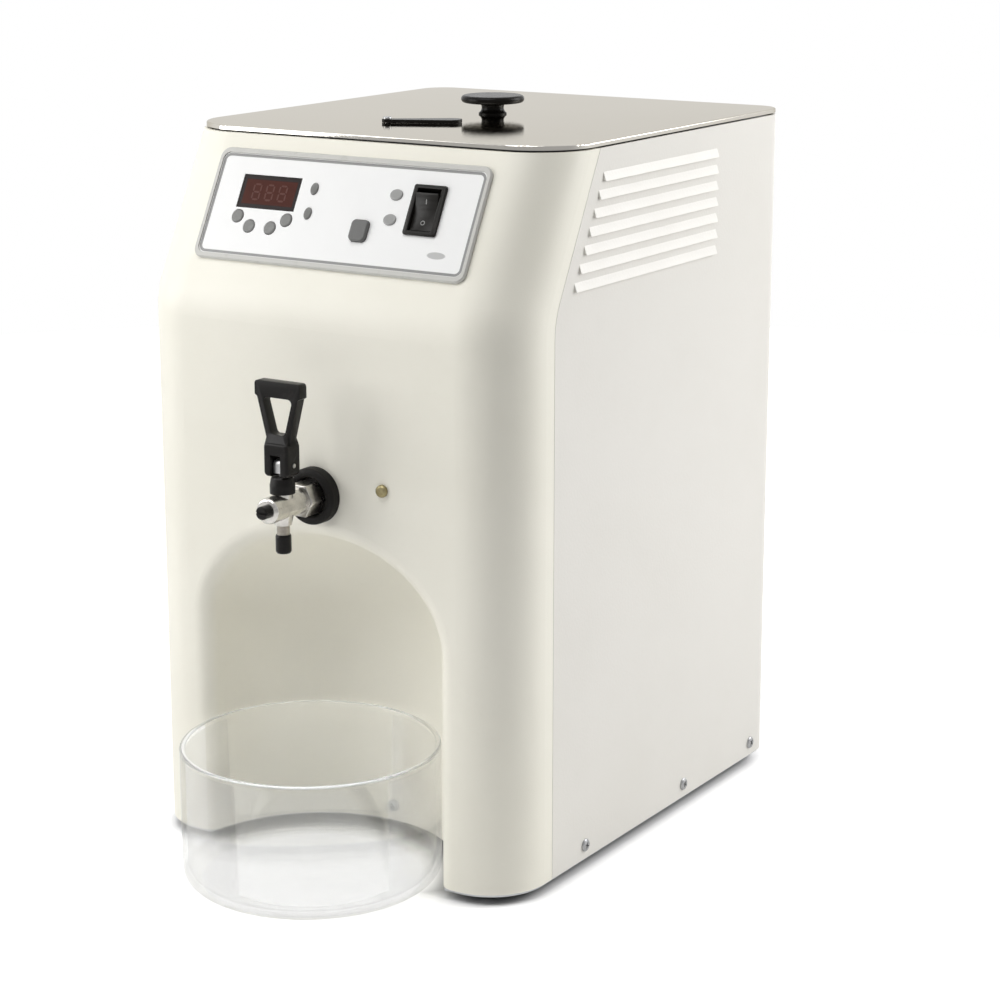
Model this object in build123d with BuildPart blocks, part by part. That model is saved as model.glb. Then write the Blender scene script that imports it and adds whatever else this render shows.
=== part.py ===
"""Bench dispenser for melted paraffin wax: a heated tank with a lift-off lid, in a
moulded housing with a sloping control panel, a tap over a scooped niche and a glass
dish that stands under it. Millimetres, front towards -Y, +Z up, bench at z = 0."""

import os
from math import cos, radians, sin

from build123d import *

os.makedirs("parts", exist_ok=True)

# ---- housing: driving dimensions ----
body_width = 245
front_y = -113
back_y = 190
base_z = 6  # lower edge of the housing
lid_top = 400
lid_thickness = 2.5
lid_gap = 1
break_z = 312  # where the front turns back into the control panel
panel_setback = 47  # how far the panel leans back up to the lid
corner_radius = 34  # upright front corners
rear_radius = 16
bulge_radius = 40  # bend between the front and the panel
moulding_wall = 3
sheet = 1.5
seam_depth = 42  # front face to the seam with the side covers
seam_gap = 0.4
tongue = 1.2

half_width = body_width / 2
shell_top = lid_top - lid_thickness - lid_gap
panel_rise = lid_top - break_z
panel_slope = panel_setback / panel_rise
seam_y = front_y + seam_depth

# ---- niche under the tap ----
niche_radius = 77
niche_y = -120  # axis of the scoop, a little in front of the housing
niche_spring_z = 134  # where the upright wall turns into the dome
niche_top_z = 190
rim_radius = 10  # rolled rim round the mouth
niche_back_y = niche_y + niche_radius
lining_radius = niche_radius + moulding_wall
lining_top_z = niche_top_z + moulding_wall
scoop_front_y = front_y + rim_radius + 1  # joint between the rolled rim and the scoop behind it

# ---- louvres in the side covers ----
louvre_rows = 7
louvre_low_z = 326
louvre_pitch = 9.1
louvre_back_y = 105
louvre_margin = 12
louvre_slot = 3.2
louvre_out = 1.6

# ---- rear panel ----
rear_flange_x = 94
rear_panel_half = 106
rear_screw_x = 100
rear_screw_rows = [30, 150, 270, 378]
vent_x = 46
vent_z = 340
vent_rows = 8
vent_pitch = 9
vent_length = 70
vent_slot = 4

# ---- base ----
foot_height = 4.5
foot_radius = 9
foot_seat = 2.8
foot_spots = [(x, y) for x in (-99, 99) for y in (-88, 165)]
screw_shank = 1.8
screw_head = 3.6
screw_head_height = 1.5
niche_screw_z = 15
pan_flange_y = 55
pan_flange_length = 226
pan_flange_height = 18
side_screw_spots = [(-35.7, 14), (78, 14), (164, 14)]

# ---- frame under the lid ----
deck_top_z = shell_top - sheet
deck_low_z = deck_top_z - sheet
deck_front_y = -64
deck_back_y = 185.5
post_outer = 118
post_leg = 14
post_front_y = -38
post_back_y = 173

# ---- tank ----
tank_half_x = 88
tank_front_y = -22
tank_back_y = 150
tank_bottom_z = 200
tank_wall = 1.5
tank_corner = 20
tank_floor_radius = 4.5
tank_flange = 9
tank_y = (tank_front_y + tank_back_y) / 2
tank_length = tank_back_y - tank_front_y
jacket_wall = 11
jacket_low_z = 186
jacket_high_z = 391
heater_low_z = 197
probe_at = (120, 212)
probe_radius = 3
cutout_at = (60, 232)
cutout_radius = 10

# ---- tap ----
tap_z = 213.4  # axis of the barrel and the shank
tap_y = -142.5  # axis of the spout, stem and lever
barrel_radius = 7
barrel_front_y = -157
barrel_back_y = -129.5
plug_length = 4.5
shank_radius = 6
shank_bore = 3.5
shank_end_y = -14
nut_across = 17
washer_thickness = 4.5
wall_ring_radius = 15.4
wall_ring_bore = 10.4
neck_radius = 5.5
neck_top_z = 222.5
chamber_radius = 3.9
seat_z = 209
washer_top_z = 211.2
outlet_radius = 2.2
boss_low_z = 203.5
spout_radius = 3.4
spout_low_z = 195
tip_low_z = 188.2
bonnet_low_z = 220.6
bonnet_top_z = 229.5
bonnet_roof_z = 227.5
stem_radius = 1.6
stem_foot_z = 212.6
pivot_z = 236
pivot_radius = 1.2
running_gap = 0.05
eye_radius = 3.6
eye_width = 5.6
spring_radius = 3.3
spring_wire = 0.7
spring_turns = 6
stud_at = (43, 221)
stud_shank = 2

# ---- lever: an open loop over a forked hub ----
hub_width = 15.5
hub_depth = 12
hub_low_z = 229.9
hub_top_z = 248
fork_width = 6.4
fork_top_z = 241.5
loop_depth = 6
loop_half = 13
bar_half = 14.5
bar_low_z = 271.5
lever_top = 280
window_low_z = 252
window_half_low = 4.3
window_half_high = 9.7

# ---- control panel: x across, v up the slope from the bend ----
panel_plane = Plane(
    origin=(0, front_y, break_z),
    x_dir=(1, 0, 0),
    z_dir=(0, -panel_rise, panel_setback),
)
panel_out = Axis(panel_plane.origin, panel_plane.z_dir)
panel_mid = 55
bezel_half = 87.6
bezel_height = 64
bezel_rise = 2
plate_half = 85
plate_height = 58
plate_thickness = 1.2
cutout_half = 79
cutout_height = 51
display_at = (-48.7, 62.8)
display_size = (38.6, 19.2)
key_radius = 3.7
key_travel = 0.8
key_spots = [(display_at[0] + x, display_at[1] + v)
             for x, v in ((-16.2, -14.6), (-7, -19.8), (7, -19.8), (16.2, -14.6))]
indicator_spots = [(-19.8, 67), (-19.8, 53)]
indicator_size = (5, 7)
lamp_spots = [(32.8, 67.5), (32.8, 53.6)]
lamp_size = (8, 6.4)
button_at = (16, 46)
button_size = (10.6, 12)
rocker_at = (53.3, 60.2)
rocker_flange = (20.4, 28)
rocker_case = (18.2, 25.6)
rocker_room = (14.6, 23.4)
rocker_width = 14
rocker_half = 10.2
rocker_pivot = -5
rocker_tilt = 9
trunnion_radius = 1.5
board_depth = 22
board_thickness = 1.6
pillar_spots = [(x, v) for x in (-74, 74) for v in (34, 77)]
clearance = 0.25

# ---- power inlet on the rear panel: x, z ----
inlet_at = (-62, 60)
inlet_body = (28, 34)
inlet_flange = (36, 44)
inlet_proud = 4.5
socket_size = (24.4, 16.6)
socket_corner = 4
socket_z = 53
socket_depth = 18
pin_length = 12.5
drawer_z = 70
drawer_size = (22, 8)
drawer_length = 20

# ---- lid ----
lid_low_z = lid_top - lid_thickness
lid_front_y = front_y + panel_setback
lid_edge = 0.8
skirt_inset = 3
skirt_depth = 8
knob_at = (0, 63)
knob_radius = 18
knob_neck = 6.4
knob_foot = 8
knob_height = 10.8
knob_disc = 4.2
vent_pivot = (-24, -8)
vent_disc = (6.5, 10)
vent_hole = 1.9
vent_cover_z = lid_top + 0.2
vent_cover_thickness = 1.8
vent_narrow = 3
vent_wide = 6

# ---- glass dish ----
dish_y = niche_y - 2
dish_radius = 71
dish_height = 77
dish_wall = 3


def keep(builder, label):
    """Label a finished piece and write it out under its own name."""
    builder.part.label = label
    export_step(builder.part, f"parts/{label}.step")


def front_profile(inset, low, high):
    """Side view of the front: upright, a soft bend, then the lean of the panel."""
    start = front_y + inset
    lean = start + (high - break_z) * panel_slope
    return FilletPolyline((start, low), (start, break_z), (lean, high), radius=bulge_radius)


def front_plan(half, front, back, radius):
    """Plan with two rounded front corners and a straight back."""
    with BuildLine(Plane.XY) as outline:
        FilletPolyline((-half, back), (-half, front), (half, front), (half, back), radius=radius)
        Line((half, back), (-half, back))
    make_face(outline.edges())


def rounded_plan(half, front, back, front_radius, back_radius):
    """Plan of the whole housing at some inset: wide front corners, tight rear ones."""
    mid = (front + back) / 2
    with BuildLine(Plane.XY) as outline:
        FilletPolyline((-half, mid), (-half, front), (half, front), (half, mid),
                       radius=front_radius)
        FilletPolyline((half, mid), (half, back), (-half, back), (-half, mid),
                       radius=back_radius)
    make_face(outline.edges())


def bullet(radius, top, low):
    """Half of an upright domed cylinder behind the niche axis, as a loose solid."""
    with BuildPart(mode=Mode.PRIVATE) as body:
        with BuildSketch(Plane.XZ.offset(-niche_y)):
            with BuildLine():
                Polyline((0, niche_spring_z), (0, low), (radius, low), (radius, niche_spring_z))
                EllipticalCenterArc((0, niche_spring_z), radius, top - niche_spring_z, arc_size=90)
                Line((0, top), (0, niche_spring_z))
            make_face()
        revolve(axis=Axis((0, niche_y, 0), (0, 0, 1)), revolution_arc=180)
    return body.part


def mouth_edges(builder, plane_y, reach, top):
    """Edges of the niche mouth that lie on one upright plane."""
    return builder.edges().filter_by(
        lambda e: abs(e.center().Y - plane_y) < 0.01
        and abs(e.center().X) < reach
        and base_z + 0.1 < e.center().Z < top
    )


def behind_seam(gap):
    """Side view of everything behind the seam, on the plane x = 0."""
    low, high = base_z - 1, shell_top + 1
    start = seam_y + gap
    lean = start + (high - break_z) * panel_slope
    with BuildLine(Plane.XY) as outline:
        front_profile(seam_depth + gap, low, high)
        Polyline((lean, high), (back_y + 1, high), (back_y + 1, low), (start, low))
    make_face(outline.edges())


def seam_band(near, far):
    """Strip of the side view that runs along the seam."""
    low, high = base_z + 2, shell_top - 4
    lean = (high - break_z) * panel_slope
    with BuildLine(Plane.XY) as outline:
        front_profile(seam_depth + near, low, high)
        front_profile(seam_depth + far, low, high)
        Line((seam_y + near, low), (seam_y + far, low))
        Line((seam_y + near + lean, high), (seam_y + far + lean, high))
    make_face(outline.edges())


# ---------------------------------------------------------------- front moulding
# The feature of most skill: a shell, 3 mm thick, whose front face rolls over a rim
# into a scooped niche with a domed head. The scoop is a second moulding, welded on
# behind the rim.
with BuildPart() as fascia_hollow:
    with BuildLine(Plane.YZ) as hollow_path:
        front_profile(moulding_wall, base_z - 2, shell_top + 2)
    with BuildSketch(Plane.XY.offset(base_z - 2)):
        front_plan(half_width - moulding_wall, front_y + moulding_wall, seam_y + 12,
                   corner_radius - moulding_wall)
    sweep(path=hollow_path.wire(), normal=(0, 0, 1))
    add(bullet(lining_radius, lining_top_z, base_z - 3), mode=Mode.SUBTRACT)
    inner_mouth = mouth_edges(fascia_hollow, front_y + moulding_wall, lining_radius, lining_top_z)
    fillet(inner_mouth, rim_radius - moulding_wall)

with BuildPart() as front_shell:
    add(bullet(lining_radius, lining_top_z, base_z))
    split(bisect_by=Plane.XZ.offset(-front_y - rim_radius), keep=Keep.BOTTOM)
    with BuildLine(Plane.YZ) as fascia_path:
        front_profile(0, base_z, shell_top)
    with BuildSketch(Plane.XY.offset(base_z)):
        front_plan(half_width, front_y, seam_y, corner_radius)
    sweep(path=fascia_path.wire(), normal=(0, 0, 1))
    add(bullet(niche_radius, niche_top_z, base_z - 2), mode=Mode.SUBTRACT)
    fillet(mouth_edges(front_shell, front_y, niche_radius, niche_top_z + 1), rim_radius)
    add(fascia_hollow.part, mode=Mode.SUBTRACT)
    # window for the switches and lamps, behind the panel plate
    with BuildSketch(panel_plane.offset(1)):
        with Locations((0, panel_mid)):
            RectangleRounded(2 * cutout_half, cutout_height, 4)
    extrude(amount=-8, mode=Mode.SUBTRACT)
    # holes for the tap shank, the brass stud and the screw at the foot of the niche
    with BuildSketch(Plane.XZ.offset(-front_y + 1)):
        with Locations((0, tap_z)):
            Circle(shank_radius)
        with Locations(stud_at):
            Circle(stud_shank)
    extrude(amount=-6, mode=Mode.SUBTRACT)
    with BuildSketch(Plane.XZ.offset(-niche_back_y + 2)):
        with Locations((0, niche_screw_z)):
            Circle(screw_shank)
    extrude(amount=-8, mode=Mode.SUBTRACT)

with BuildPart() as scoop_room:
    scoop_depth = niche_back_y + 2 * moulding_wall - scoop_front_y
    with BuildSketch(Plane.XY.offset(base_z - 1)):
        with Locations((0, scoop_front_y + scoop_depth / 2)):
            Rectangle(2 * lining_radius + 2, scoop_depth)
    extrude(amount=lining_top_z + 2 - base_z)

with BuildPart() as front_fascia:
    add(front_shell.part)
    add(scoop_room.part, mode=Mode.SUBTRACT)
keep(front_fascia, "front_fascia")

with BuildPart() as niche_scoop:
    add(front_shell.part)
    add(scoop_room.part, mode=Mode.INTERSECT)
keep(niche_scoop, "niche_scoop")

# ---------------------------------------------------------------- side covers
bend_y = back_y - rear_radius
cover_inner = half_width - sheet
tongue_x = half_width - moulding_wall
with BuildPart() as side_cover_right:
    with BuildSketch(Plane.XY.offset(base_z)):
        with BuildLine():
            Polyline((cover_inner, bend_y), (cover_inner, seam_y - 2), (half_width, seam_y - 2),
                     (half_width, bend_y))
            CenterArc((half_width - rear_radius, bend_y), rear_radius, 0, 90)
            Polyline((half_width - rear_radius, back_y), (rear_flange_x, back_y),
                     (rear_flange_x, back_y - sheet), (half_width - rear_radius, back_y - sheet))
            CenterArc((half_width - rear_radius, bend_y), rear_radius - sheet, 0, 90)
        make_face()
    extrude(amount=shell_top - base_z)
    with BuildSketch(Plane.YZ):
        behind_seam(seam_gap)
    extrude(amount=half_width + 1, mode=Mode.INTERSECT)
    # tongue that slips inside the front moulding along the seam
    with BuildSketch(Plane.YZ.offset(tongue_x - tongue)):
        seam_band(-8, 10)
    extrude(amount=tongue)
    with BuildSketch(Plane.YZ.offset(tongue_x)):
        seam_band(seam_gap, 10)
    extrude(amount=moulding_wall - sheet)
    # louvres: a slot under each pressed-out hood
    for row in range(louvre_rows):
        row_z = louvre_low_z + row * louvre_pitch
        slot_top = row_z + louvre_slot / 2
        slot_low = row_z - louvre_slot / 2
        hood_x = half_width + louvre_out
        run = louvre_back_y - seam_y - (row_z - break_z) * panel_slope - louvre_margin
        with BuildSketch(Plane.XZ.offset(-louvre_back_y)):
            with Locations((half_width, row_z)):
                Rectangle(4 * sheet, louvre_slot)
        extrude(amount=run, mode=Mode.SUBTRACT)
        with BuildSketch(Plane.XZ.offset(-louvre_back_y)):
            with BuildLine():
                Polyline((cover_inner, slot_top + 1), (cover_inner, slot_top),
                         (hood_x - 1, slot_low), (hood_x, slot_low),
                         (half_width, slot_top + 1.6), (cover_inner, slot_top + 1))
            make_face()
        extrude(amount=run)
        for end in (0, run - 1):
            with BuildSketch(Plane.XZ.offset(end - louvre_back_y)):
                with BuildLine():
                    Polyline((cover_inner, slot_top), (cover_inner, slot_low),
                             (hood_x, slot_low), (half_width, slot_top + 1.6),
                             (cover_inner, slot_top))
                make_face()
            extrude(amount=1)
    with BuildSketch(Plane.YZ.offset(cover_inner - sheet)):
        with Locations(*side_screw_spots):
            Circle(screw_shank)
    extrude(amount=3 * sheet, mode=Mode.SUBTRACT)
    with BuildSketch(Plane.XZ.offset(-back_y - 1)):
        with Locations(*[(rear_screw_x, z) for z in rear_screw_rows]):
            Circle(screw_shank)
    extrude(amount=4 * sheet, mode=Mode.SUBTRACT)
keep(side_cover_right, "side_cover_right")

with BuildPart() as side_cover_left:
    mirror(side_cover_right.part, about=Plane.YZ)
keep(side_cover_left, "side_cover_left")

# ---------------------------------------------------------------- rear panel
panel_face_y = back_y - sheet
rear_screw_spots = [(side * rear_screw_x, z) for side in (-1, 1) for z in rear_screw_rows]
with BuildPart() as rear_panel:
    with BuildSketch(Plane.XZ.offset(-panel_face_y)):
        with Locations((0, (base_z + shell_top) / 2)):
            Rectangle(2 * rear_panel_half, shell_top - base_z)
    extrude(amount=sheet)
    with BuildSketch(Plane.XZ.offset(-panel_face_y - 1)):
        with Locations(*rear_screw_spots):
            Circle(screw_shank)
        with Locations(inlet_at):
            Rectangle(*inlet_body)
        for mid_x in (-vent_x, vent_x):
            with Locations((mid_x, vent_z)):
                with GridLocations(vent_length, vent_pitch, 1, vent_rows):
                    SlotOverall(vent_length, vent_slot)
    extrude(amount=4, mode=Mode.SUBTRACT)
keep(rear_panel, "rear_panel")

# ---------------------------------------------------------------- base pan and feet
with BuildPart() as base_pan:
    with BuildSketch(Plane.XY.offset(foot_height)):
        rounded_plan(half_width - sheet, front_y + sheet, panel_face_y, corner_radius - sheet,
                     rear_radius - sheet)
        with Locations((0, niche_y)):
            Circle(lining_radius, mode=Mode.SUBTRACT)
    extrude(amount=sheet)
    with BuildSketch(Plane.XY.offset(base_z)):
        for side in (-1, 1):
            with Locations((side * (cover_inner - sheet / 2), pan_flange_y)):
                Rectangle(sheet, pan_flange_length)
        with Locations((0, panel_face_y - 1.5 * sheet)):
            Rectangle(2 * rear_flange_x - 14, sheet)
        with Locations((0, niche_back_y + moulding_wall + sheet / 2)):
            Rectangle(20, sheet)
    extrude(amount=pan_flange_height)
    with BuildSketch(Plane.YZ.offset(-half_width)):
        with Locations(*side_screw_spots):
            Circle(screw_shank)
    extrude(amount=body_width, mode=Mode.SUBTRACT)
    with BuildSketch(Plane.XZ.offset(-niche_back_y)):
        with Locations((0, niche_screw_z)):
            Circle(screw_shank)
    extrude(amount=-8, mode=Mode.SUBTRACT)
    with BuildSketch(Plane.XY.offset(foot_height - 1)):
        with Locations(*foot_spots):
            Circle(screw_shank)
    extrude(amount=sheet + 2, mode=Mode.SUBTRACT)
keep(base_pan, "base_pan")

with BuildPart() as feet:
    with BuildSketch():
        with Locations(*foot_spots):
            Circle(foot_radius)
    extrude(amount=foot_height)
    with BuildSketch():
        with Locations(*foot_spots):
            Circle(screw_head + 0.4)
    extrude(amount=foot_seat, mode=Mode.SUBTRACT)
    with BuildSketch():
        with Locations(*foot_spots):
            Circle(screw_shank)
    extrude(amount=foot_height, mode=Mode.SUBTRACT)
keep(feet, "feet")

with BuildPart() as foot_screws:
    with BuildSketch(Plane.XY.offset(foot_seat)):
        with Locations(*foot_spots):
            Circle(screw_head)
    extrude(amount=-screw_head_height)
    with BuildSketch(Plane.XY.offset(foot_seat)):
        with Locations(*foot_spots):
            Circle(screw_shank)
    extrude(amount=base_z + 4 - foot_seat)
keep(foot_screws, "foot_screws")

# ---------------------------------------------------------------- frame under the lid
with BuildPart() as corner_posts:
    with BuildSketch(Plane.XY.offset(base_z)):
        for side in (-1, 1):
            for corner_y, way in ((post_front_y, 1), (post_back_y, -1)):
                with Locations((side * (post_outer - post_leg / 2), corner_y + way * sheet / 2)):
                    Rectangle(post_leg, sheet)
                with Locations((side * (post_outer - sheet / 2), corner_y + way * post_leg / 2)):
                    Rectangle(sheet, post_leg)
    extrude(amount=deck_low_z - base_z)
keep(corner_posts, "corner_posts")

with BuildPart() as top_frame:
    with BuildSketch(Plane.XY.offset(deck_low_z)):
        rounded_plan(post_outer, deck_front_y, deck_back_y, corner_radius - 5, rear_radius - 3)
        with Locations((0, tank_y)):
            RectangleRounded(2 * tank_half_x, tank_length, tank_corner, mode=Mode.SUBTRACT)
    extrude(amount=sheet)
    with BuildSketch(Plane.XY.offset(deck_low_z)):
        for side in (-1, 1):
            with Locations((side * (post_outer - sheet / 2), tank_y)):
                Rectangle(sheet, 150)
    extrude(amount=-10)
keep(top_frame, "top_frame")

# ---------------------------------------------------------------- wax tank
with BuildPart() as tank_room:
    with BuildSketch(Plane.XY.offset(tank_bottom_z + tank_wall)):
        with Locations((0, tank_y)):
            RectangleRounded(2 * (tank_half_x - tank_wall), tank_length - 2 * tank_wall,
                             tank_corner - tank_wall)
    extrude(amount=shell_top - tank_bottom_z)
    fillet(tank_room.faces().sort_by(Axis.Z)[0].edges(), tank_floor_radius - tank_wall)

with BuildPart() as wax_tank:
    with BuildSketch(Plane.XY.offset(tank_bottom_z)):
        with Locations((0, tank_y)):
            RectangleRounded(2 * tank_half_x, tank_length, tank_corner)
    extrude(amount=deck_top_z - tank_bottom_z)
    fillet(wax_tank.faces().sort_by(Axis.Z)[0].edges(), tank_floor_radius)
    with BuildSketch(Plane.XY.offset(deck_top_z)):
        with Locations((0, tank_y)):
            RectangleRounded(2 * (tank_half_x + tank_flange), tank_length + 2 * tank_flange,
                             tank_corner + tank_flange)
    extrude(amount=tank_wall)
    add(tank_room.part, mode=Mode.SUBTRACT)
    with BuildSketch(Plane.XZ.offset(-tank_front_y + 1)):
        with Locations((0, tap_z)):
            Circle(shank_radius)
    extrude(amount=-4, mode=Mode.SUBTRACT)
    with BuildSketch(Plane.YZ.offset(tank_half_x - 3)):
        with Locations(probe_at):
            Circle(probe_radius)
    extrude(amount=6, mode=Mode.SUBTRACT)
keep(wax_tank, "wax_tank")

with BuildPart() as tank_jacket:
    with BuildSketch(Plane.XY.offset(jacket_low_z)):
        with Locations((0, tank_y)):
            RectangleRounded(2 * (tank_half_x + jacket_wall), tank_length + 2 * jacket_wall,
                             tank_corner + jacket_wall)
    extrude(amount=jacket_high_z - jacket_low_z)
    with BuildSketch(Plane.XY.offset(heater_low_z)):
        with Locations((0, tank_y)):
            RectangleRounded(2 * tank_half_x, tank_length, tank_corner)
    extrude(amount=jacket_high_z - heater_low_z, mode=Mode.SUBTRACT)
    with BuildSketch(Plane.XZ.offset(-tank_front_y)):
        with Locations((0, tap_z)):
            Circle(shank_radius)
    extrude(amount=jacket_wall, mode=Mode.SUBTRACT)
    with BuildSketch(Plane.YZ.offset(tank_half_x)):
        with Locations(probe_at):
            Circle(probe_radius)
    extrude(amount=jacket_wall, mode=Mode.SUBTRACT)
    with BuildSketch(Plane.YZ.offset(-tank_half_x)):
        with Locations(cutout_at):
            Circle(cutout_radius)
    extrude(amount=-jacket_wall, mode=Mode.SUBTRACT)
keep(tank_jacket, "tank_jacket")

with BuildPart() as tank_heater:
    with BuildSketch(Plane.XY.offset(heater_low_z)):
        with Locations((0, tank_y)):
            RectangleRounded(150, 140, 12)
    extrude(amount=tank_bottom_z - heater_low_z)
keep(tank_heater, "tank_heater")

with BuildPart() as temperature_probe:
    with BuildSketch(Plane.YZ.offset(tank_half_x - 22)):
        with Locations(probe_at):
            Circle(probe_radius)
    extrude(amount=22 + jacket_wall)
    fillet(temperature_probe.edges().sort_by(Axis.X)[0], 1.5)
    with BuildSketch(Plane.YZ.offset(tank_half_x + jacket_wall)):
        with Locations(probe_at):
            RegularPolygon(7, 6)
    extrude(amount=4)
keep(temperature_probe, "temperature_probe")

with BuildPart() as cutout_thermostat:
    with BuildSketch(Plane.YZ.offset(-tank_half_x)):
        with Locations(cutout_at):
            Circle(cutout_radius)
    extrude(amount=-jacket_wall - 1)
    with BuildSketch(Plane.YZ.offset(-tank_half_x - jacket_wall - 1)):
        with Locations(cutout_at):
            with GridLocations(9, 1, 2, 1):
                Rectangle(0.8, 6.3)
    extrude(amount=-7)
keep(cutout_thermostat, "cutout_thermostat")

# ---------------------------------------------------------------- tap
tap_axis = Axis((0, tap_y, 0), (0, 0, 1))
nut_length = front_y - washer_thickness - barrel_back_y
with BuildPart() as tap_shank:
    with BuildSketch(Plane.XZ.offset(-shank_end_y)):
        with Locations((0, tap_z)):
            Circle(shank_radius)
            Circle(shank_bore, mode=Mode.SUBTRACT)
    extrude(amount=shank_end_y - barrel_back_y)
keep(tap_shank, "tap_shank")

with BuildPart() as shank_nuts:
    for back, length in ((front_y - washer_thickness, nut_length),
                         (tank_front_y + tank_wall + 5, 5)):
        with BuildSketch(Plane.XZ.offset(-back)):
            with Locations((0, tap_z)):
                RegularPolygon(nut_across / 2, 6, major_radius=False)
                Circle(shank_radius, mode=Mode.SUBTRACT)
        extrude(amount=length)
keep(shank_nuts, "shank_nuts")

with BuildPart() as shank_washer:
    with BuildSketch(Plane.XZ.offset(-front_y)):
        with Locations((0, tap_z)):
            Circle(wall_ring_bore - 0.6)
            Circle(shank_radius, mode=Mode.SUBTRACT)
    extrude(amount=washer_thickness)
keep(shank_washer, "shank_washer")

with BuildPart() as wall_ring:
    with BuildSketch(Plane.XZ.offset(-front_y)):
        with Locations((0, tap_z)):
            Circle(wall_ring_radius)
            Circle(wall_ring_bore, mode=Mode.SUBTRACT)
    extrude(amount=7.5)
    fillet(wall_ring.faces().sort_by(Axis.Y)[0].edges(), 2.4)
keep(wall_ring, "wall_ring")

with BuildPart() as tap_heater:
    with BuildSketch(Plane.XZ.offset(60)):
        with Locations((0, tap_z)):
            RectangleRounded(34, 25, 3)
            Circle(shank_radius, mode=Mode.SUBTRACT)
    extrude(amount=44)
keep(tap_heater, "tap_heater")

with BuildPart() as tap_body:
    with BuildSketch(Plane.XZ.offset(-barrel_back_y)):
        with Locations((0, tap_z)):
            Circle(barrel_radius)
    extrude(amount=barrel_back_y - barrel_front_y)
    fillet(tap_body.faces().sort_by(Axis.Y)[0].edges(), 2)
    with BuildSketch(Plane.XZ.offset(-tap_y)):
        with BuildLine():
            Polyline((0, neck_top_z), (neck_radius, neck_top_z), (neck_radius, tap_z - 5),
                     (4.6, boss_low_z), (0, boss_low_z), (0, neck_top_z))
        make_face()
    revolve(axis=tap_axis)
    with BuildSketch(Plane.XY.offset(seat_z)):
        with Locations((0, tap_y)):
            Circle(chamber_radius)
    extrude(amount=neck_top_z - seat_z, mode=Mode.SUBTRACT)
    with BuildSketch(Plane.XY.offset(boss_low_z)):
        with Locations((0, tap_y)):
            Circle(outlet_radius)
    extrude(amount=seat_z - boss_low_z, mode=Mode.SUBTRACT)
    with BuildSketch(Plane.XZ.offset(-barrel_back_y)):
        with Locations((0, tap_z)):
            Circle(shank_bore)
    extrude(amount=barrel_back_y - tap_y, mode=Mode.SUBTRACT)
    with BuildSketch(Plane.XZ.offset(-barrel_front_y)):
        with Locations((0, tap_z)):
            Circle(2.5)
    extrude(amount=-5, mode=Mode.SUBTRACT)
keep(tap_body, "tap_body")

with BuildPart() as cleaning_plug:
    with BuildSketch(Plane.XZ.offset(-barrel_front_y - 5)):
        with Locations((0, tap_z)):
            Circle(2.5)
    extrude(amount=5)
    with BuildSketch(Plane.XZ.offset(-barrel_front_y)):
        with Locations((0, tap_z)):
            Circle(3.6)
    extrude(amount=plug_length)
    fillet(cleaning_plug.faces().sort_by(Axis.Y)[0].edges(), 0.8)
    with BuildSketch(Plane.XZ.offset(plug_length - barrel_front_y - 1.2)):
        with Locations((0, tap_z)):
            Rectangle(8, 1)
    extrude(amount=2, mode=Mode.SUBTRACT)
keep(cleaning_plug, "cleaning_plug")

with BuildPart() as tap_bonnet:
    with BuildSketch(Plane.XZ.offset(-tap_y)):
        with BuildLine():
            guide = stem_radius + running_gap
            Polyline((neck_radius, bonnet_low_z), (6.7, bonnet_low_z), (6.7, 225),
                     (6, bonnet_top_z - 0.8), (5.4, bonnet_top_z), (guide, bonnet_top_z),
                     (guide, bonnet_roof_z), (chamber_radius, bonnet_roof_z),
                     (chamber_radius, neck_top_z), (neck_radius, neck_top_z),
                     (neck_radius, bonnet_low_z))
        make_face()
    revolve(axis=tap_axis)
keep(tap_bonnet, "tap_bonnet")

with BuildPart() as spout_tube:
    with BuildSketch(Plane.XY.offset(spout_low_z)):
        with Locations((0, tap_y)):
            Circle(spout_radius)
            Circle(outlet_radius, mode=Mode.SUBTRACT)
    extrude(amount=boss_low_z - spout_low_z)
keep(spout_tube, "spout_tube")

with BuildPart() as nozzle_tip:
    with BuildSketch(Plane.XZ.offset(-tap_y)):
        with BuildLine():
            Polyline((outlet_radius, tip_low_z), (3.6, tip_low_z), (4.2, tip_low_z + 1),
                     (4.2, spout_low_z + 2.2), (3.8, spout_low_z + 3.2),
                     (spout_radius, spout_low_z + 3.2), (spout_radius, spout_low_z),
                     (outlet_radius, spout_low_z), (outlet_radius, tip_low_z))
        make_face()
    revolve(axis=tap_axis)
keep(nozzle_tip, "nozzle_tip")

with BuildPart() as valve_stem:
    with BuildSketch(Plane.XZ.offset(-tap_y)):
        with BuildLine():
            Polyline((0, washer_top_z), (3.2, washer_top_z), (3.2, stem_foot_z),
                     (stem_radius, stem_foot_z), (stem_radius, pivot_z - 2), (0, pivot_z - 2),
                     (0, washer_top_z))
        make_face()
    revolve(axis=tap_axis)
    with BuildSketch(Plane.YZ.offset(-eye_width / 2)):
        with Locations((tap_y, pivot_z)):
            Circle(eye_radius)
        with Locations((tap_y, pivot_z - 2.2)):
            Rectangle(2 * eye_radius, 4.4)
    extrude(amount=eye_width)
    with BuildSketch(Plane.YZ.offset(-eye_width)):
        with Locations((tap_y, pivot_z)):
            Circle(pivot_radius)
    extrude(amount=2 * eye_width, mode=Mode.SUBTRACT)
keep(valve_stem, "valve_stem")

with BuildPart() as seat_washer:
    with BuildSketch(Plane.XY.offset(seat_z)):
        with Locations((0, tap_y)):
            Circle(chamber_radius - 0.3)
    extrude(amount=washer_top_z - seat_z)
keep(seat_washer, "seat_washer")

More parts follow.
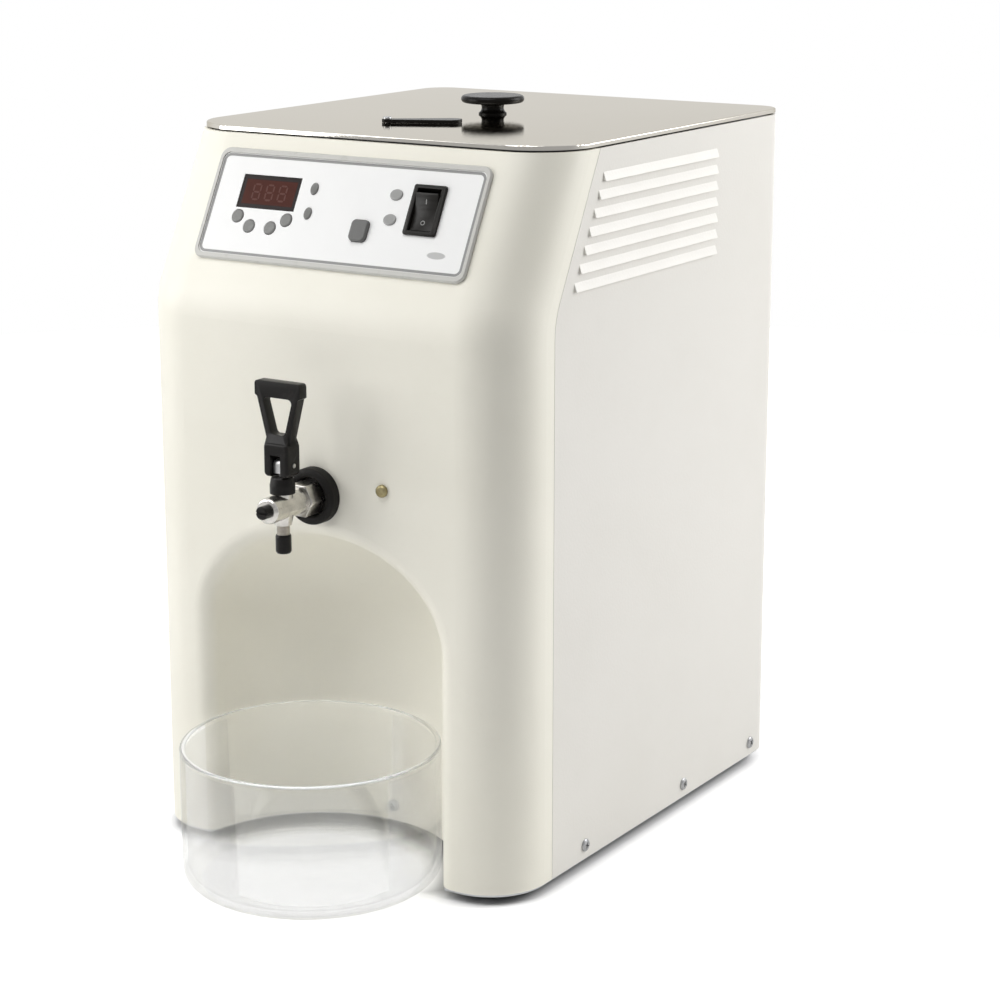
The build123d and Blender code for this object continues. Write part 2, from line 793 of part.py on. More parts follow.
spring_low = stem_foot_z + spring_wire / 2 + running_gap
spring_run = bonnet_roof_z - spring_wire / 2 - running_gap - spring_low
with BuildPart() as valve_spring:
    with BuildLine() as spring_line:
        Helix(pitch=spring_run / spring_turns, height=spring_run, radius=spring_radius,
              center=(0, tap_y, spring_low))
    with BuildSketch(Plane(origin=spring_line.line @ 0, z_dir=spring_line.line % 0)):
        RegularPolygon(spring_wire / 2, 6)
    sweep(path=spring_line.wire(), is_frenet=True)
keep(valve_spring, "valve_spring")

with BuildPart() as lever_pin:
    with BuildSketch(Plane.YZ.offset(-hub_width / 2 - 0.3)):
        with Locations((tap_y, pivot_z)):
            Circle(pivot_radius)
    extrude(amount=hub_width + 0.6)
keep(lever_pin, "lever_pin")

with BuildPart() as tap_lever:
    with BuildSketch(Plane.XZ.offset(-tap_y - hub_depth / 2)):
        with Locations((0, (hub_low_z + hub_top_z) / 2)):
            RectangleRounded(hub_width, hub_top_z - hub_low_z, 2.5)
    extrude(amount=hub_depth)
    hub_ends = tap_lever.faces().sort_by(Axis.Y)
    fillet(hub_ends[0].edges() + hub_ends[-1].edges(), 1.6)
    with BuildSketch(Plane.XZ.offset(-tap_y - loop_depth / 2)) as loop:
        with BuildLine():
            leg = hub_width / 2 - 0.3
            Polyline((-leg, hub_top_z - 3), (-leg, hub_top_z + 2), (-loop_half, bar_low_z),
                     (-bar_half, bar_low_z + 1), (-bar_half, lever_top), (bar_half, lever_top),
                     (bar_half, bar_low_z + 1), (loop_half, bar_low_z), (leg, hub_top_z + 2),
                     (leg, hub_top_z - 3), (-leg, hub_top_z - 3))
        make_face()
        fillet(loop.vertices().group_by(Axis.Y)[-1], 2)
        with BuildLine():
            FilletPolyline((-window_half_low, window_low_z), (window_half_low, window_low_z),
                           (window_half_high, bar_low_z), (-window_half_high, bar_low_z),
                           radius=2.4, close=True)
        make_face(mode=Mode.SUBTRACT)
    extrude(amount=loop_depth)
    with BuildSketch(Plane.YZ.offset(0.8 - hub_width / 2)):
        with BuildLine():
            hub_half, loop_side = hub_depth / 2 - 0.6, loop_depth / 2
            Polyline((tap_y - hub_half, hub_top_z - 1), (tap_y + hub_half, hub_top_z - 1),
                     (tap_y + loop_side, window_low_z), (tap_y - loop_side, window_low_z),
                     (tap_y - hub_half, hub_top_z - 1))
        make_face()
    extrude(amount=hub_width - 1.6)
    with BuildSketch(Plane.XZ.offset(-tap_y - hub_depth)):
        with Locations((0, (hub_low_z - 1 + fork_top_z) / 2)):
            Rectangle(fork_width, fork_top_z - hub_low_z + 1)
    extrude(amount=2 * hub_depth, mode=Mode.SUBTRACT)
    with BuildSketch(Plane.YZ.offset(-hub_width)):
        with Locations((tap_y, pivot_z)):
            Circle(pivot_radius + running_gap)
    extrude(amount=2 * hub_width, mode=Mode.SUBTRACT)
keep(tap_lever, "tap_lever")

with BuildPart() as front_stud:
    with BuildSketch(Plane.XZ.offset(-front_y - 6)):
        with Locations(stud_at):
            Circle(stud_shank)
    extrude(amount=6)
    with BuildSketch(Plane.XZ.offset(-front_y)):
        with Locations(stud_at):
            Circle(3.4)
    extrude(amount=2.6)
    fillet(front_stud.faces().sort_by(Axis.Y)[0].edges(), 1.6)
keep(front_stud, "front_stud")

# ---------------------------------------------------------------- control panel
with BuildPart() as control_bezel:
    with BuildSketch(panel_plane):
        with Locations((0, panel_mid)):
            RectangleRounded(2 * bezel_half, bezel_height, 6)
            RectangleRounded(2 * plate_half, plate_height, 4, mode=Mode.SUBTRACT)
    extrude(amount=bezel_rise)
    chamfer(control_bezel.faces().sort_by(panel_out)[-1].outer_wire().edges(), 0.8)
keep(control_bezel, "control_bezel")

with BuildPart() as control_plate:
    with BuildSketch(panel_plane):
        with Locations((0, panel_mid)):
            RectangleRounded(2 * plate_half, plate_height, 4)
        with Locations(display_at):
            Rectangle(*display_size, mode=Mode.SUBTRACT)
        with Locations(*key_spots):
            Circle(key_radius + clearance, mode=Mode.SUBTRACT)
        with Locations(*indicator_spots):
            Ellipse(indicator_size[0] / 2, indicator_size[1] / 2, mode=Mode.SUBTRACT)
        with Locations(*lamp_spots):
            Ellipse(lamp_size[0] / 2, lamp_size[1] / 2, mode=Mode.SUBTRACT)
        with Locations(button_at):
            RectangleRounded(button_size[0] + 2 * clearance, button_size[1] + 2 * clearance, 3,
                             mode=Mode.SUBTRACT)
        with Locations(rocker_at):
            Rectangle(*rocker_case, mode=Mode.SUBTRACT)
    extrude(amount=plate_thickness)
keep(control_plate, "control_plate")

with BuildPart() as display_window:
    with BuildSketch(panel_plane.offset(-1)):
        with Locations(display_at):
            Rectangle(*display_size)
    extrude(amount=1.8)
keep(display_window, "display_window")

with BuildPart() as display_module:
    with BuildSketch(panel_plane.offset(-board_depth)):
        with Locations(display_at):
            Rectangle(*display_size)
    extrude(amount=board_depth - 1)
keep(display_module, "display_module")

for number, spot in enumerate(key_spots, start=1):
    with BuildPart() as key:
        with BuildSketch(panel_plane.offset(-2)):
            with Locations(spot):
                Circle(key_radius)
        extrude(amount=3.8)
        fillet(key.faces().sort_by(panel_out)[-1].edges(), 1)
        with BuildSketch(panel_plane.offset(-2)):
            with Locations(spot):
                Circle(1.6)
        extrude(amount=3.8 - board_depth)
    keep(key, f"key_{number}")

with BuildPart() as indicator_lenses:
    with BuildSketch(panel_plane.offset(-3)):
        with Locations(*indicator_spots):
            Ellipse(indicator_size[0] / 2, indicator_size[1] / 2)
    extrude(amount=5)
    fillet(indicator_lenses.edges().group_by(panel_out)[-1], 0.8)
    with BuildSketch(panel_plane.offset(-board_depth)):
        with Locations(*indicator_spots):
            Circle(1.5)
    extrude(amount=board_depth - 3)
keep(indicator_lenses, "indicator_lenses")

with BuildPart() as pilot_lamps:
    with BuildSketch(panel_plane.offset(-3)):
        with Locations(*lamp_spots):
            Ellipse(lamp_size[0] / 2, lamp_size[1] / 2)
    extrude(amount=5)
    fillet(pilot_lamps.edges().group_by(panel_out)[-1], 0.8)
    with BuildSketch(panel_plane.offset(-board_depth)):
        with Locations(*lamp_spots):
            Circle(2.2)
    extrude(amount=board_depth - 3)
keep(pilot_lamps, "pilot_lamps")

with BuildPart() as push_button:
    with BuildSketch(panel_plane.offset(-5)):
        with Locations(button_at):
            RectangleRounded(*button_size, 2.8)
    extrude(amount=8.4)
    fillet(push_button.faces().sort_by(panel_out)[-1].edges(), 1)
    with BuildSketch(panel_plane.offset(-5)):
        with Locations(button_at):
            Rectangle(4, 4)
    extrude(amount=7.8 - board_depth)
keep(push_button, "push_button")

with BuildPart() as rocker_frame:
    with BuildSketch(panel_plane.offset(-18)):
        with Locations(rocker_at):
            Rectangle(*rocker_case)
    extrude(amount=18 + plate_thickness)
    with BuildSketch(panel_plane.offset(plate_thickness)):
        with Locations(rocker_at):
            RectangleRounded(*rocker_flange, 1.5)
    extrude(amount=1.8)
    chamfer(rocker_frame.faces().sort_by(panel_out)[-1].outer_wire().edges(), 0.6)
    with BuildSketch(panel_plane.offset(-13)):
        with Locations(rocker_at):
            Rectangle(*rocker_room)
    extrude(amount=20, mode=Mode.SUBTRACT)
    with BuildSketch(Plane.YZ.offset(rocker_at[0] - rocker_room[0] / 2 - 1.4)):
        rocker_axle = panel_plane.from_local_coords((*rocker_at, rocker_pivot))
        with Locations((rocker_axle.Y, rocker_axle.Z)):
            Circle(trunnion_radius + running_gap)
    extrude(amount=rocker_room[0] + 2.8, mode=Mode.SUBTRACT)
keep(rocker_frame, "rocker_frame")

tilt = radians(rocker_tilt)
rocker_side = Plane(
    origin=(rocker_at[0] - rocker_width / 2, rocker_axle.Y, rocker_axle.Z),
    x_dir=panel_plane.y_dir * cos(tilt) + panel_plane.z_dir * sin(tilt),
    z_dir=(1, 0, 0),
)
with BuildPart() as rocker_switch:
    with BuildSketch(rocker_side):
        with BuildLine():
            Polyline((rocker_half, 8.2), (rocker_half, 0), (5, -5), (-5, -5), (-rocker_half, 0),
                     (-rocker_half, 8.2))
            ThreePointArc((-rocker_half, 8.2), (0, 6.6), (rocker_half, 8.2))
        make_face()
    extrude(amount=rocker_width)
    with BuildSketch(rocker_side.offset(-1.2)):
        Circle(trunnion_radius)
    extrude(amount=rocker_width + 2.4)
keep(rocker_switch, "rocker_switch")

with BuildPart() as control_board:
    with BuildSketch(panel_plane.offset(-board_depth)):
        with Locations((0, panel_mid)):
            Rectangle(156, 50)
    extrude(amount=-board_thickness)
keep(control_board, "control_board")

with BuildPart() as board_pillars:
    with BuildSketch(panel_plane.offset(-board_depth)):
        with Locations(*pillar_spots):
            Circle(3)
    extrude(amount=board_depth)
keep(board_pillars, "board_pillars")

with BuildPart() as board_components:
    with BuildSketch(panel_plane.offset(-board_depth)):
        with Locations(*key_spots):
            Rectangle(6, 6)
    extrude(amount=key_travel * 1.2)
    with BuildSketch(panel_plane.offset(-board_depth)):
        with Locations(button_at):
            Rectangle(8, 8)
    extrude(amount=1.2)
    for spot, size, depth in (((-50, 52), (28, 12), 15), ((-6, 58), (32, 27), 17),
                              ((34, 60), (19, 15), 15), ((58, 44), (30, 9), 11)):
        with BuildSketch(panel_plane.offset(-board_depth - board_thickness)):
            with Locations(spot):
                Rectangle(*size)
        extrude(amount=-depth)
keep(board_components, "board_components")

# ---------------------------------------------------------------- electrics on the base
with BuildPart() as transformer:
    with BuildSketch(Plane.XY.offset(base_z)):
        with Locations((56, 100)):
            Rectangle(66, 44)
    extrude(amount=56)
    with BuildSketch(Plane.XY.offset(base_z + 12)):
        with Locations((56, 100)):
            RectangleRounded(44, 62, 6)
    extrude(amount=32)
keep(transformer, "transformer")

with BuildPart() as terminal_block:
    with BuildSketch(Plane.XY.offset(base_z)):
        with Locations((-20, 150)):
            Rectangle(60, 20)
    extrude(amount=12)
    with BuildSketch(Plane.XY.offset(base_z + 12)):
        with Locations((-20, 150)):
            with GridLocations(10, 1, 6, 1):
                Rectangle(8, 14)
    extrude(amount=5)
keep(terminal_block, "terminal_block")

# ---------------------------------------------------------------- power inlet
inlet_face = Plane.XZ.offset(-panel_face_y - inlet_proud)
with BuildPart() as power_inlet:
    with BuildSketch(Plane.XZ.offset(-panel_face_y)):
        with Locations(inlet_at):
            RectangleRounded(*inlet_flange, 3)
    extrude(amount=-inlet_proud)
    chamfer(power_inlet.faces().sort_by(Axis.Y)[-1].edges(), 1)
    with BuildSketch(Plane.XZ.offset(-panel_face_y)):
        with Locations(inlet_at):
            Rectangle(*inlet_body)
    extrude(amount=26)
    with BuildSketch(inlet_face):
        with BuildLine():
            left, right = inlet_at[0] - socket_size[0] / 2, inlet_at[0] + socket_size[0] / 2
            low, high = socket_z - socket_size[1] / 2, socket_z + socket_size[1] / 2
            Polyline((left, low), (right, low), (right, high - socket_corner),
                     (right - socket_corner, high), (left + socket_corner, high),
                     (left, high - socket_corner), (left, low))
        make_face()
    extrude(amount=socket_depth, mode=Mode.SUBTRACT)
    with BuildSketch(inlet_face):
        with Locations((inlet_at[0], drawer_z)):
            Rectangle(drawer_size[0] + 2 * clearance, drawer_size[1] + 2 * clearance)
    extrude(amount=drawer_length + 0.5, mode=Mode.SUBTRACT)
    with BuildSketch(inlet_face.offset(socket_depth)):
        with Locations((inlet_at[0], socket_z + 2.5), (inlet_at[0] - 7, socket_z - 2),
                       (inlet_at[0] + 7, socket_z - 2)):
            Rectangle(2, 4)
    extrude(amount=-pin_length)
keep(power_inlet, "power_inlet")

with BuildPart() as fuse_drawer:
    with BuildSketch(inlet_face):
        with Locations((inlet_at[0], drawer_z)):
            Rectangle(*drawer_size)
    extrude(amount=drawer_length)
    with BuildSketch(inlet_face):
        with Locations((inlet_at[0], drawer_z + drawer_size[1] / 2 - 1)):
            Rectangle(8, 2)
    extrude(amount=1.5, mode=Mode.SUBTRACT)
    with BuildSketch(Plane.XY.offset(drawer_z + drawer_size[1] / 2)):
        with Locations((inlet_at[0], panel_face_y - 6)):
            Rectangle(18, 16)
    extrude(amount=-6, mode=Mode.SUBTRACT)
keep(fuse_drawer, "fuse_drawer")

# ---------------------------------------------------------------- lid
with BuildPart() as lid_gasket:
    with BuildSketch(Plane.XY.offset(shell_top)):
        with Locations((0, tank_y)):
            RectangleRounded(2 * tank_half_x + 14, tank_length + 14, tank_corner + 7)
            RectangleRounded(2 * tank_half_x + 2, tank_length + 2, tank_corner + 1,
                             mode=Mode.SUBTRACT)
    extrude(amount=lid_gap)
keep(lid_gasket, "lid_gasket")

with BuildPart() as lid:
    with BuildSketch(Plane.XY.offset(lid_low_z)):
        rounded_plan(half_width, lid_front_y, back_y, corner_radius, rear_radius)
    extrude(amount=lid_thickness)
    fillet(lid.faces().sort_by(Axis.Z)[-1].edges(), lid_edge)
    with BuildSketch(Plane.XY.offset(lid_low_z)):
        skirt_half = tank_half_x - skirt_inset
        skirt_length = tank_length - 2 * skirt_inset
        skirt_corner = tank_corner - skirt_inset
        with Locations((0, tank_y)):
            RectangleRounded(2 * skirt_half, skirt_length, skirt_corner)
            RectangleRounded(2 * (skirt_half - sheet), skirt_length - 2 * sheet,
                             skirt_corner - sheet, mode=Mode.SUBTRACT)
    extrude(amount=-skirt_depth)
    with BuildSketch(Plane.XY.offset(lid_low_z - 1)):
        with Locations(knob_at):
            Circle(screw_shank)
        with Locations(vent_pivot):
            Circle(trunnion_radius)
        with Locations(vent_disc):
            Circle(vent_hole)
    extrude(amount=lid_thickness + 2, mode=Mode.SUBTRACT)
keep(lid, "lid")

with BuildPart() as lid_knob:
    with BuildSketch(Plane.XZ.offset(-knob_at[1])):
        with BuildLine():
            crown = lid_top + knob_height
            under = crown - knob_disc
            Polyline((screw_shank, under), (screw_shank, lid_top), (knob_foot, lid_top),
                     (knob_foot, lid_top + 0.8))
            ThreePointArc((knob_foot, lid_top + 0.8), (knob_neck, lid_top + 3),
                          (knob_neck + 0.9, under - 0.6))
            Line((knob_neck + 0.9, under - 0.6), (knob_radius - 2, under))
            CenterArc((knob_radius - 2, under + 2), 2, -90, 90)
            Line((knob_radius, under + 2), (knob_radius, crown - 2))
            CenterArc((knob_radius - 2, crown - 2), 2, 0, 90)
            Polyline((knob_radius - 2, crown), (0, crown), (0, under), (screw_shank, under))
        make_face()
    revolve(axis=Axis((*knob_at, 0), (0, 0, 1)))
keep(lid_knob, "lid_knob")

with BuildPart() as knob_screw:
    with BuildSketch(Plane.XY.offset(lid_low_z)):
        with Locations(knob_at):
            Circle(screw_head + 0.6)
    extrude(amount=-2.4)
    with BuildSketch(Plane.XY.offset(lid_low_z)):
        with Locations(knob_at):
            Circle(screw_shank)
    extrude(amount=lid_thickness + knob_height - knob_disc)
keep(knob_screw, "knob_screw")

wide_end = Vector(*vent_disc)
narrow_end = Vector(*vent_pivot)
along = (wide_end - narrow_end).normalized()
across = Vector(-along.Y, along.X)
with BuildPart() as vent_cover:
    with BuildSketch(Plane.XY.offset(vent_cover_z)):
        with BuildLine():
            Line(wide_end + across * vent_wide, narrow_end + across * vent_narrow)
            ThreePointArc(narrow_end + across * vent_narrow, narrow_end - along * vent_narrow,
                          narrow_end - across * vent_narrow)
            Line(narrow_end - across * vent_narrow, wide_end - across * vent_wide)
            ThreePointArc(wide_end - across * vent_wide, wide_end + along * vent_wide,
                          wide_end + across * vent_wide)
        make_face()
        with Locations(vent_pivot):
            Circle(trunnion_radius + running_gap, mode=Mode.SUBTRACT)
    extrude(amount=vent_cover_thickness)
keep(vent_cover, "vent_cover")

with BuildPart() as vent_screw:
    head_z = vent_cover_z + vent_cover_thickness + 0.1
    with BuildSketch(Plane.XY.offset(lid_low_z)):
        with Locations(vent_pivot):
            Circle(trunnion_radius)
    extrude(amount=head_z - lid_low_z)
    with BuildSketch(Plane.XY.offset(head_z)):
        with Locations(vent_pivot):
            Circle(2.4)
    extrude(amount=1.2)
    fillet(vent_screw.faces().sort_by(Axis.Z)[-1].edges(), 0.6)
keep(vent_screw, "vent_screw")

# ---------------------------------------------------------------- screws
with BuildPart() as cover_screws:
    for side in (-1, 1):
        with BuildSketch(Plane.YZ.offset(side * half_width)):
            with Locations(*side_screw_spots):
                Circle(screw_head)
        extrude(amount=side * screw_head_height)
        with BuildSketch(Plane.YZ.offset(side * half_width)):
            with Locations(*side_screw_spots):
                Circle(screw_shank)
        extrude(amount=-side * 4.2)
    with BuildSketch(Plane.XZ.offset(0.1 - niche_back_y)):
        with Locations((0, niche_screw_z)):
            Circle(screw_head)
    extrude(amount=screw_head_height)
    with BuildSketch(Plane.XZ.offset(0.1 - niche_back_y)):
        with Locations((0, niche_screw_z)):
            Circle(screw_shank)
    extrude(amount=-6)
keep(cover_screws, "cover_screws")

with BuildPart() as rear_screws:
    with BuildSketch(Plane.XZ.offset(-back_y)):
        with Locations(*rear_screw_spots):
            Circle(screw_head)
    extrude(amount=-screw_head_height)
    with BuildSketch(Plane.XZ.offset(-back_y)):
        with Locations(*rear_screw_spots):
            Circle(screw_shank)
    extrude(amount=4)
keep(rear_screws, "rear_screws")

# ---------------------------------------------------------------- glass dish
with BuildPart() as catch_dish:
    with BuildSketch(Plane.XZ.offset(-dish_y)):
        with BuildLine():
            inside = dish_radius - dish_wall
            Line((0, 0), (dish_radius - 10, 0))
            ThreePointArc((dish_radius - 10, 0), (dish_radius - 2.9, 2.9), (dish_radius, 10))
            Line((dish_radius, 10), (dish_radius, dish_height - 1.5))
            ThreePointArc((dish_radius, dish_height - 1.5), (dish_radius - 1.5, dish_height),
                          (inside, dish_height - 1.5))
            Line((inside, dish_height - 1.5), (inside, 12))
            ThreePointArc((inside, 12), (inside - 2.4, 6.4), (inside - 8, 4))
            Polyline((inside - 8, 4), (0, 4), (0, 0))
        make_face()
    revolve(axis=Axis((0, dish_y, 0), (0, 0, 1)))
keep(catch_dish, "catch_dish")
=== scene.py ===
import math

import bmesh
import bpy
from mathutils import Matrix, Vector


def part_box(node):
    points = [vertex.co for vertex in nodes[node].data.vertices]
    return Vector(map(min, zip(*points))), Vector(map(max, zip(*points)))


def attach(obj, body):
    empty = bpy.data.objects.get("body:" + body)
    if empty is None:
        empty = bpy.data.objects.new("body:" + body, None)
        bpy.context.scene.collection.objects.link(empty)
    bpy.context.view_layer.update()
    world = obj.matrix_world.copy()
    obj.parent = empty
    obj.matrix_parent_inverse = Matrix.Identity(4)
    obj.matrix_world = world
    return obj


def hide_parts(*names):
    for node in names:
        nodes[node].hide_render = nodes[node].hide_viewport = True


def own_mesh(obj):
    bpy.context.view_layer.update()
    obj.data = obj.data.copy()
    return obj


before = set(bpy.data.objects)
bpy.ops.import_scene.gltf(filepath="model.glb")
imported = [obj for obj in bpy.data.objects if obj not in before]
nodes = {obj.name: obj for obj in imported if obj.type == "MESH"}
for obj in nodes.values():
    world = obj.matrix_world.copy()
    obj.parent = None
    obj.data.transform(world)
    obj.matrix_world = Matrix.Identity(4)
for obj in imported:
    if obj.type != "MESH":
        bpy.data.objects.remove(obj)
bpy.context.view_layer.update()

print("frame loaded:", len(nodes), "nodes")


class Wire:
    # one socket of a node tree; arithmetic on it adds Math nodes
    def __init__(self, tree, socket=None):
        self.tree = tree
        self.socket = socket

    def plug(self, target, value):
        if isinstance(value, Wire):
            self.tree.links.new(value.socket, target)
        else:
            target.default_value = value

    def make(self, kind, settings=None, values=None, out=0):
        # any node: its settings first, then the values or links of its sockets
        node = self.tree.nodes.new(kind)
        for name, value in (settings or {}).items():
            setattr(node, name, value)
        for name, value in (values or {}).items():
            self.plug(node.inputs[name], value)
        return Wire(self.tree, node.outputs[out])

    def math(self, operation, first, second=0.0):
        return self.make("ShaderNodeMath", {"operation": operation}, {0: first, 1: second})

    def __add__(self, other):
        return self.math("ADD", self, other)

    def __radd__(self, other):
        return self.math("ADD", other, self)

    def __sub__(self, other):
        return self.math("SUBTRACT", self, other)

    def __rsub__(self, other):
        return self.math("SUBTRACT", other, self)

    def __mul__(self, other):
        return self.math("MULTIPLY", self, other)

    def __rmul__(self, other):
        return self.math("MULTIPLY", other, self)

    def size(self):
        return self.math("ABSOLUTE", self)

    def over(self, other):
        return self.math("MAXIMUM", self, other)

    def under(self, other):
        return self.math("MINIMUM", self, other)

    def step(self, low, high):
        # 0 below low, 1 above high, smooth between
        return self.make("ShaderNodeMapRange", {"interpolation_type": "SMOOTHSTEP"},
                         {"Value": self, "From Min": low, "From Max": high})

    def blend(self, first, second):
        # the first colour where this is 0, the second where it is 1
        return self.make("ShaderNodeMix", {"data_type": "RGBA"}, {0: self, 6: first, 7: second}, 2)

    def vector(self, operation, other, out=0):
        return self.make("ShaderNodeVectorMath", {"operation": operation},
                         {0: self, 1: other}, out)

    def along(self, direction, origin=(0.0, 0.0, 0.0)):
        # how far a point lies from the origin along one direction
        return self.vector("SUBTRACT", origin).vector("DOT_PRODUCT", direction, "Value")

    def stretch(self, scale):
        return self.vector("MULTIPLY", scale)

    def reach(self, other):
        # distance from the middle, this wire across and other up
        return self.math("SQRT", self * self + other * other)

    def beyond(self, other, half, corner):
        # distance outside a rounded rectangle, negative inside
        across, up = self.size() - (half[0] - corner), other.size() - (half[1] - corner)
        return across.over(0.0).reach(up.over(0.0)) + across.over(up).under(0.0) - corner

    def noise(self, scale, detail=3.0, rough=0.5):
        return self.make("ShaderNodeTexNoise", {"noise_dimensions": "3D"},
                         {"Vector": self, "Scale": scale, "Detail": detail, "Roughness": rough})

    def bump(self, height, distance, strength=1.0):
        return self.make("ShaderNodeBump", None,
                         {"Height": height, "Distance": distance, "Strength": strength})


def colour(red, green, blue):
    return (red, green, blue, 1.0)


def newFinish(name):
    # an empty material, its shader, and a wire on the object's own coordinates
    material = bpy.data.materials.new(name)
    material.use_nodes = True
    shader = material.node_tree.nodes["Principled BSDF"]
    return material, shader, Wire(material.node_tree).make("ShaderNodeTexCoord", out="Object")


def setShader(shader, place, **values):
    for name, value in values.items():
        place.plug(shader.inputs[name.replace("_", " ")], value)


def dress(material, *names):
    for name in names:
        for slot in nodes[name].material_slots:
            slot.material = material


# the sloping panel: the middle of its lower edge, how far it rises and how far it leans back
panel = {"origin": (0.0, -0.113, 0.312), "rise": 0.088, "setback": 0.047}
panelLength = math.hypot(panel["rise"], panel["setback"])
panelUp = (0.0, panel["setback"] / panelLength, panel["rise"] / panelLength)
panelOut = (0.0, -panel["rise"] / panelLength, panel["setback"] / panelLength)


def panelPoint(across, up, out):
    return Vector(panel["origin"]) + Vector((across, 0, 0)) + Vector(panelUp) * up + \
        Vector(panelOut) * out


# a noise is (scale, detail, roughness), a fade is (none below, full above)
frontPlastic = {
    "colour": colour(0.92, 0.895, 0.79), "shade": colour(0.87, 0.845, 0.735),
    "cloud": (9.0, 4.0, 0.55), "cloudFade": (0.35, 0.75), "cloudShare": 0.6,
    "speck": (375.0, 3.0, 0.7), "speckFade": (0.62, 0.72), "speckShare": 0.25,
    "sheen": (36.0, 5.0, 0.7), "rough": (0.34, 0.46),
    "grain": (1500.0, 2.0), "grainDepth": 0.00005, "grainStrength": 1.0,
}
coverPaint = {
    "colour": colour(0.80, 0.778, 0.725), "shade": colour(0.76, 0.738, 0.68),
    "cloud": (14.0, 4.0, 0.6), "cloudFade": (0.35, 0.8), "cloudShare": 0.5,
    "speck": (1054.0, 2.0, 0.8), "speckFade": (0.66, 0.74), "speckShare": 0.35,
    "sheen": (14.0, 4.0, 0.6), "rough": (0.32, 0.42),
    "grain": (620.0, 1.5, 0.4), "grainDepth": 0.00012, "grainStrength": 0.6,
}


def paleFinish(name, look):
    # faint clouds and specks, over the grain of a mould or the orange peel of a powder coat
    material, shader, place = newFinish(name)
    cloud = place.noise(*look["cloud"]).step(*look["cloudFade"])
    speck = place.noise(*look["speck"]).step(*look["speckFade"])
    tone = cloud * look["cloudShare"] + speck * look["speckShare"]
    low, high = look["rough"]
    setShader(shader, place, Base_Color=tone.blend(look["colour"], look["shade"]),
              Roughness=low + place.noise(*look["sheen"]) * (high - low),
              Normal=place.bump(place.noise(*look["grain"]), look["grainDepth"],
                                look["grainStrength"]))
    return material


dress(paleFinish("fasciaPlastic", frontPlastic), "front_fascia", "niche_scoop")
dress(paleFinish("coverCoat", coverPaint), "side_cover_left", "side_cover_right", "rear_panel")

rolled = {"lines": (90.0, 5.0, 0.75), "cloud": (7.0, 3.0), "share": 0.5, "toneFade": (0.35, 0.75),
          "lineRough": 0.03, "wipeFade": (0.4, 0.7), "wipeRough": 0.02, "depth": 0.000012,
          "strength": 0.5}
sheets = {
    "lidSteel": {"colour": colour(0.70, 0.675, 0.62), "shade": colour(0.64, 0.615, 0.56),
                 "rough": 0.004, "stretch": (1.0, 60.0, 1.0), "on": ["lid"]},
    "zincSheet": {"colour": colour(0.60, 0.61, 0.62), "shade": colour(0.45, 0.47, 0.50),
                  "rough": 0.28, "stretch": (1.0, 60.0, 1.0),
                  "on": ["base_pan", "corner_posts", "top_frame"]},
    "tankMetal": {"colour": colour(0.70, 0.70, 0.69), "shade": colour(0.60, 0.60, 0.60),
                  "rough": 0.22, "stretch": (1.0, 1.0, 40.0), "on": ["wax_tank", "tap_heater"]},
}


def rolledSheet(name, look):
    # faint lines along the roll, and fine wipe marks
    material, shader, place = newFinish(name)
    lines = place.stretch(look["stretch"]).noise(*rolled["lines"])
    cloud = place.noise(*rolled["cloud"])
    wiped = cloud.step(*rolled["wipeFade"]) * rolled["wipeRough"]
    tone = (lines * rolled["share"] + cloud * rolled["share"]).step(*rolled["toneFade"])
    setShader(shader, place, Base_Color=tone.blend(look["colour"], look["shade"]), Metallic=1.0,
              Specular_Tint=look["colour"],
              Roughness=look["rough"] + lines * rolled["lineRough"] + wiped,
              Normal=place.bump(lines, rolled["depth"], rolled["strength"]))
    return material


lathe = {"rings": 9000.0, "depth": 0.000008, "strength": 0.4, "smear": (160.0, 4.0, 0.65),
         "smearFade": (0.35, 0.7), "smearRough": 0.22}
turnedParts = {
    "tapNickel": {"colour": colour(0.72, 0.70, 0.66), "shade": colour(0.55, 0.53, 0.49),
                  "rough": 0.12, "axis": (0, 1, 0), "on": ["tap_body", "tap_shank"]},
    "nutSteel": {"colour": colour(0.62, 0.60, 0.56), "shade": colour(0.44, 0.43, 0.40),
                 "rough": 0.18, "axis": (0, 1, 0), "on": ["shank_nuts"]},
    "spoutMetal": {"colour": colour(0.42, 0.39, 0.34), "shade": colour(0.30, 0.27, 0.23),
                   "rough": 0.26, "axis": (0, 0, 1), "on": ["spout_tube"]},
    "stemSteel": {"colour": colour(0.60, 0.60, 0.59), "shade": colour(0.48, 0.48, 0.47),
                  "rough": 0.18, "axis": (0, 0, 1),
                  "on": ["valve_stem", "lever_pin", "valve_spring", "temperature_probe"]},
    "studBrass": {"colour": colour(0.36, 0.31, 0.17), "shade": colour(0.22, 0.18, 0.09),
                  "rough": 0.3, "axis": (0, 1, 0), "on": ["front_stud"]},
    "screwZinc": {"colour": colour(0.46, 0.46, 0.46), "shade": colour(0.30, 0.31, 0.32),
                  "rough": 0.25, "axis": (0, 0, 1),
                  "on": ["foot_screws", "knob_screw", "vent_screw", "cover_screws",
                         "rear_screws"]},
}


def turnedMetal(name, look):
    # fine rings from the lathe along one axis, dulled by handling
    material, shader, place = newFinish(name)
    rings = place.math("SINE", place.along(look["axis"]) * lathe["rings"])
    smear = place.noise(*lathe["smear"])
    tone = smear.step(*lathe["smearFade"]).blend(look["colour"], look["shade"])
    setShader(shader, place, Base_Color=tone, Metallic=1.0,
              Roughness=look["rough"] + smear * lathe["smearRough"],
              Normal=place.bump(rings, lathe["depth"], lathe["strength"]))
    return material


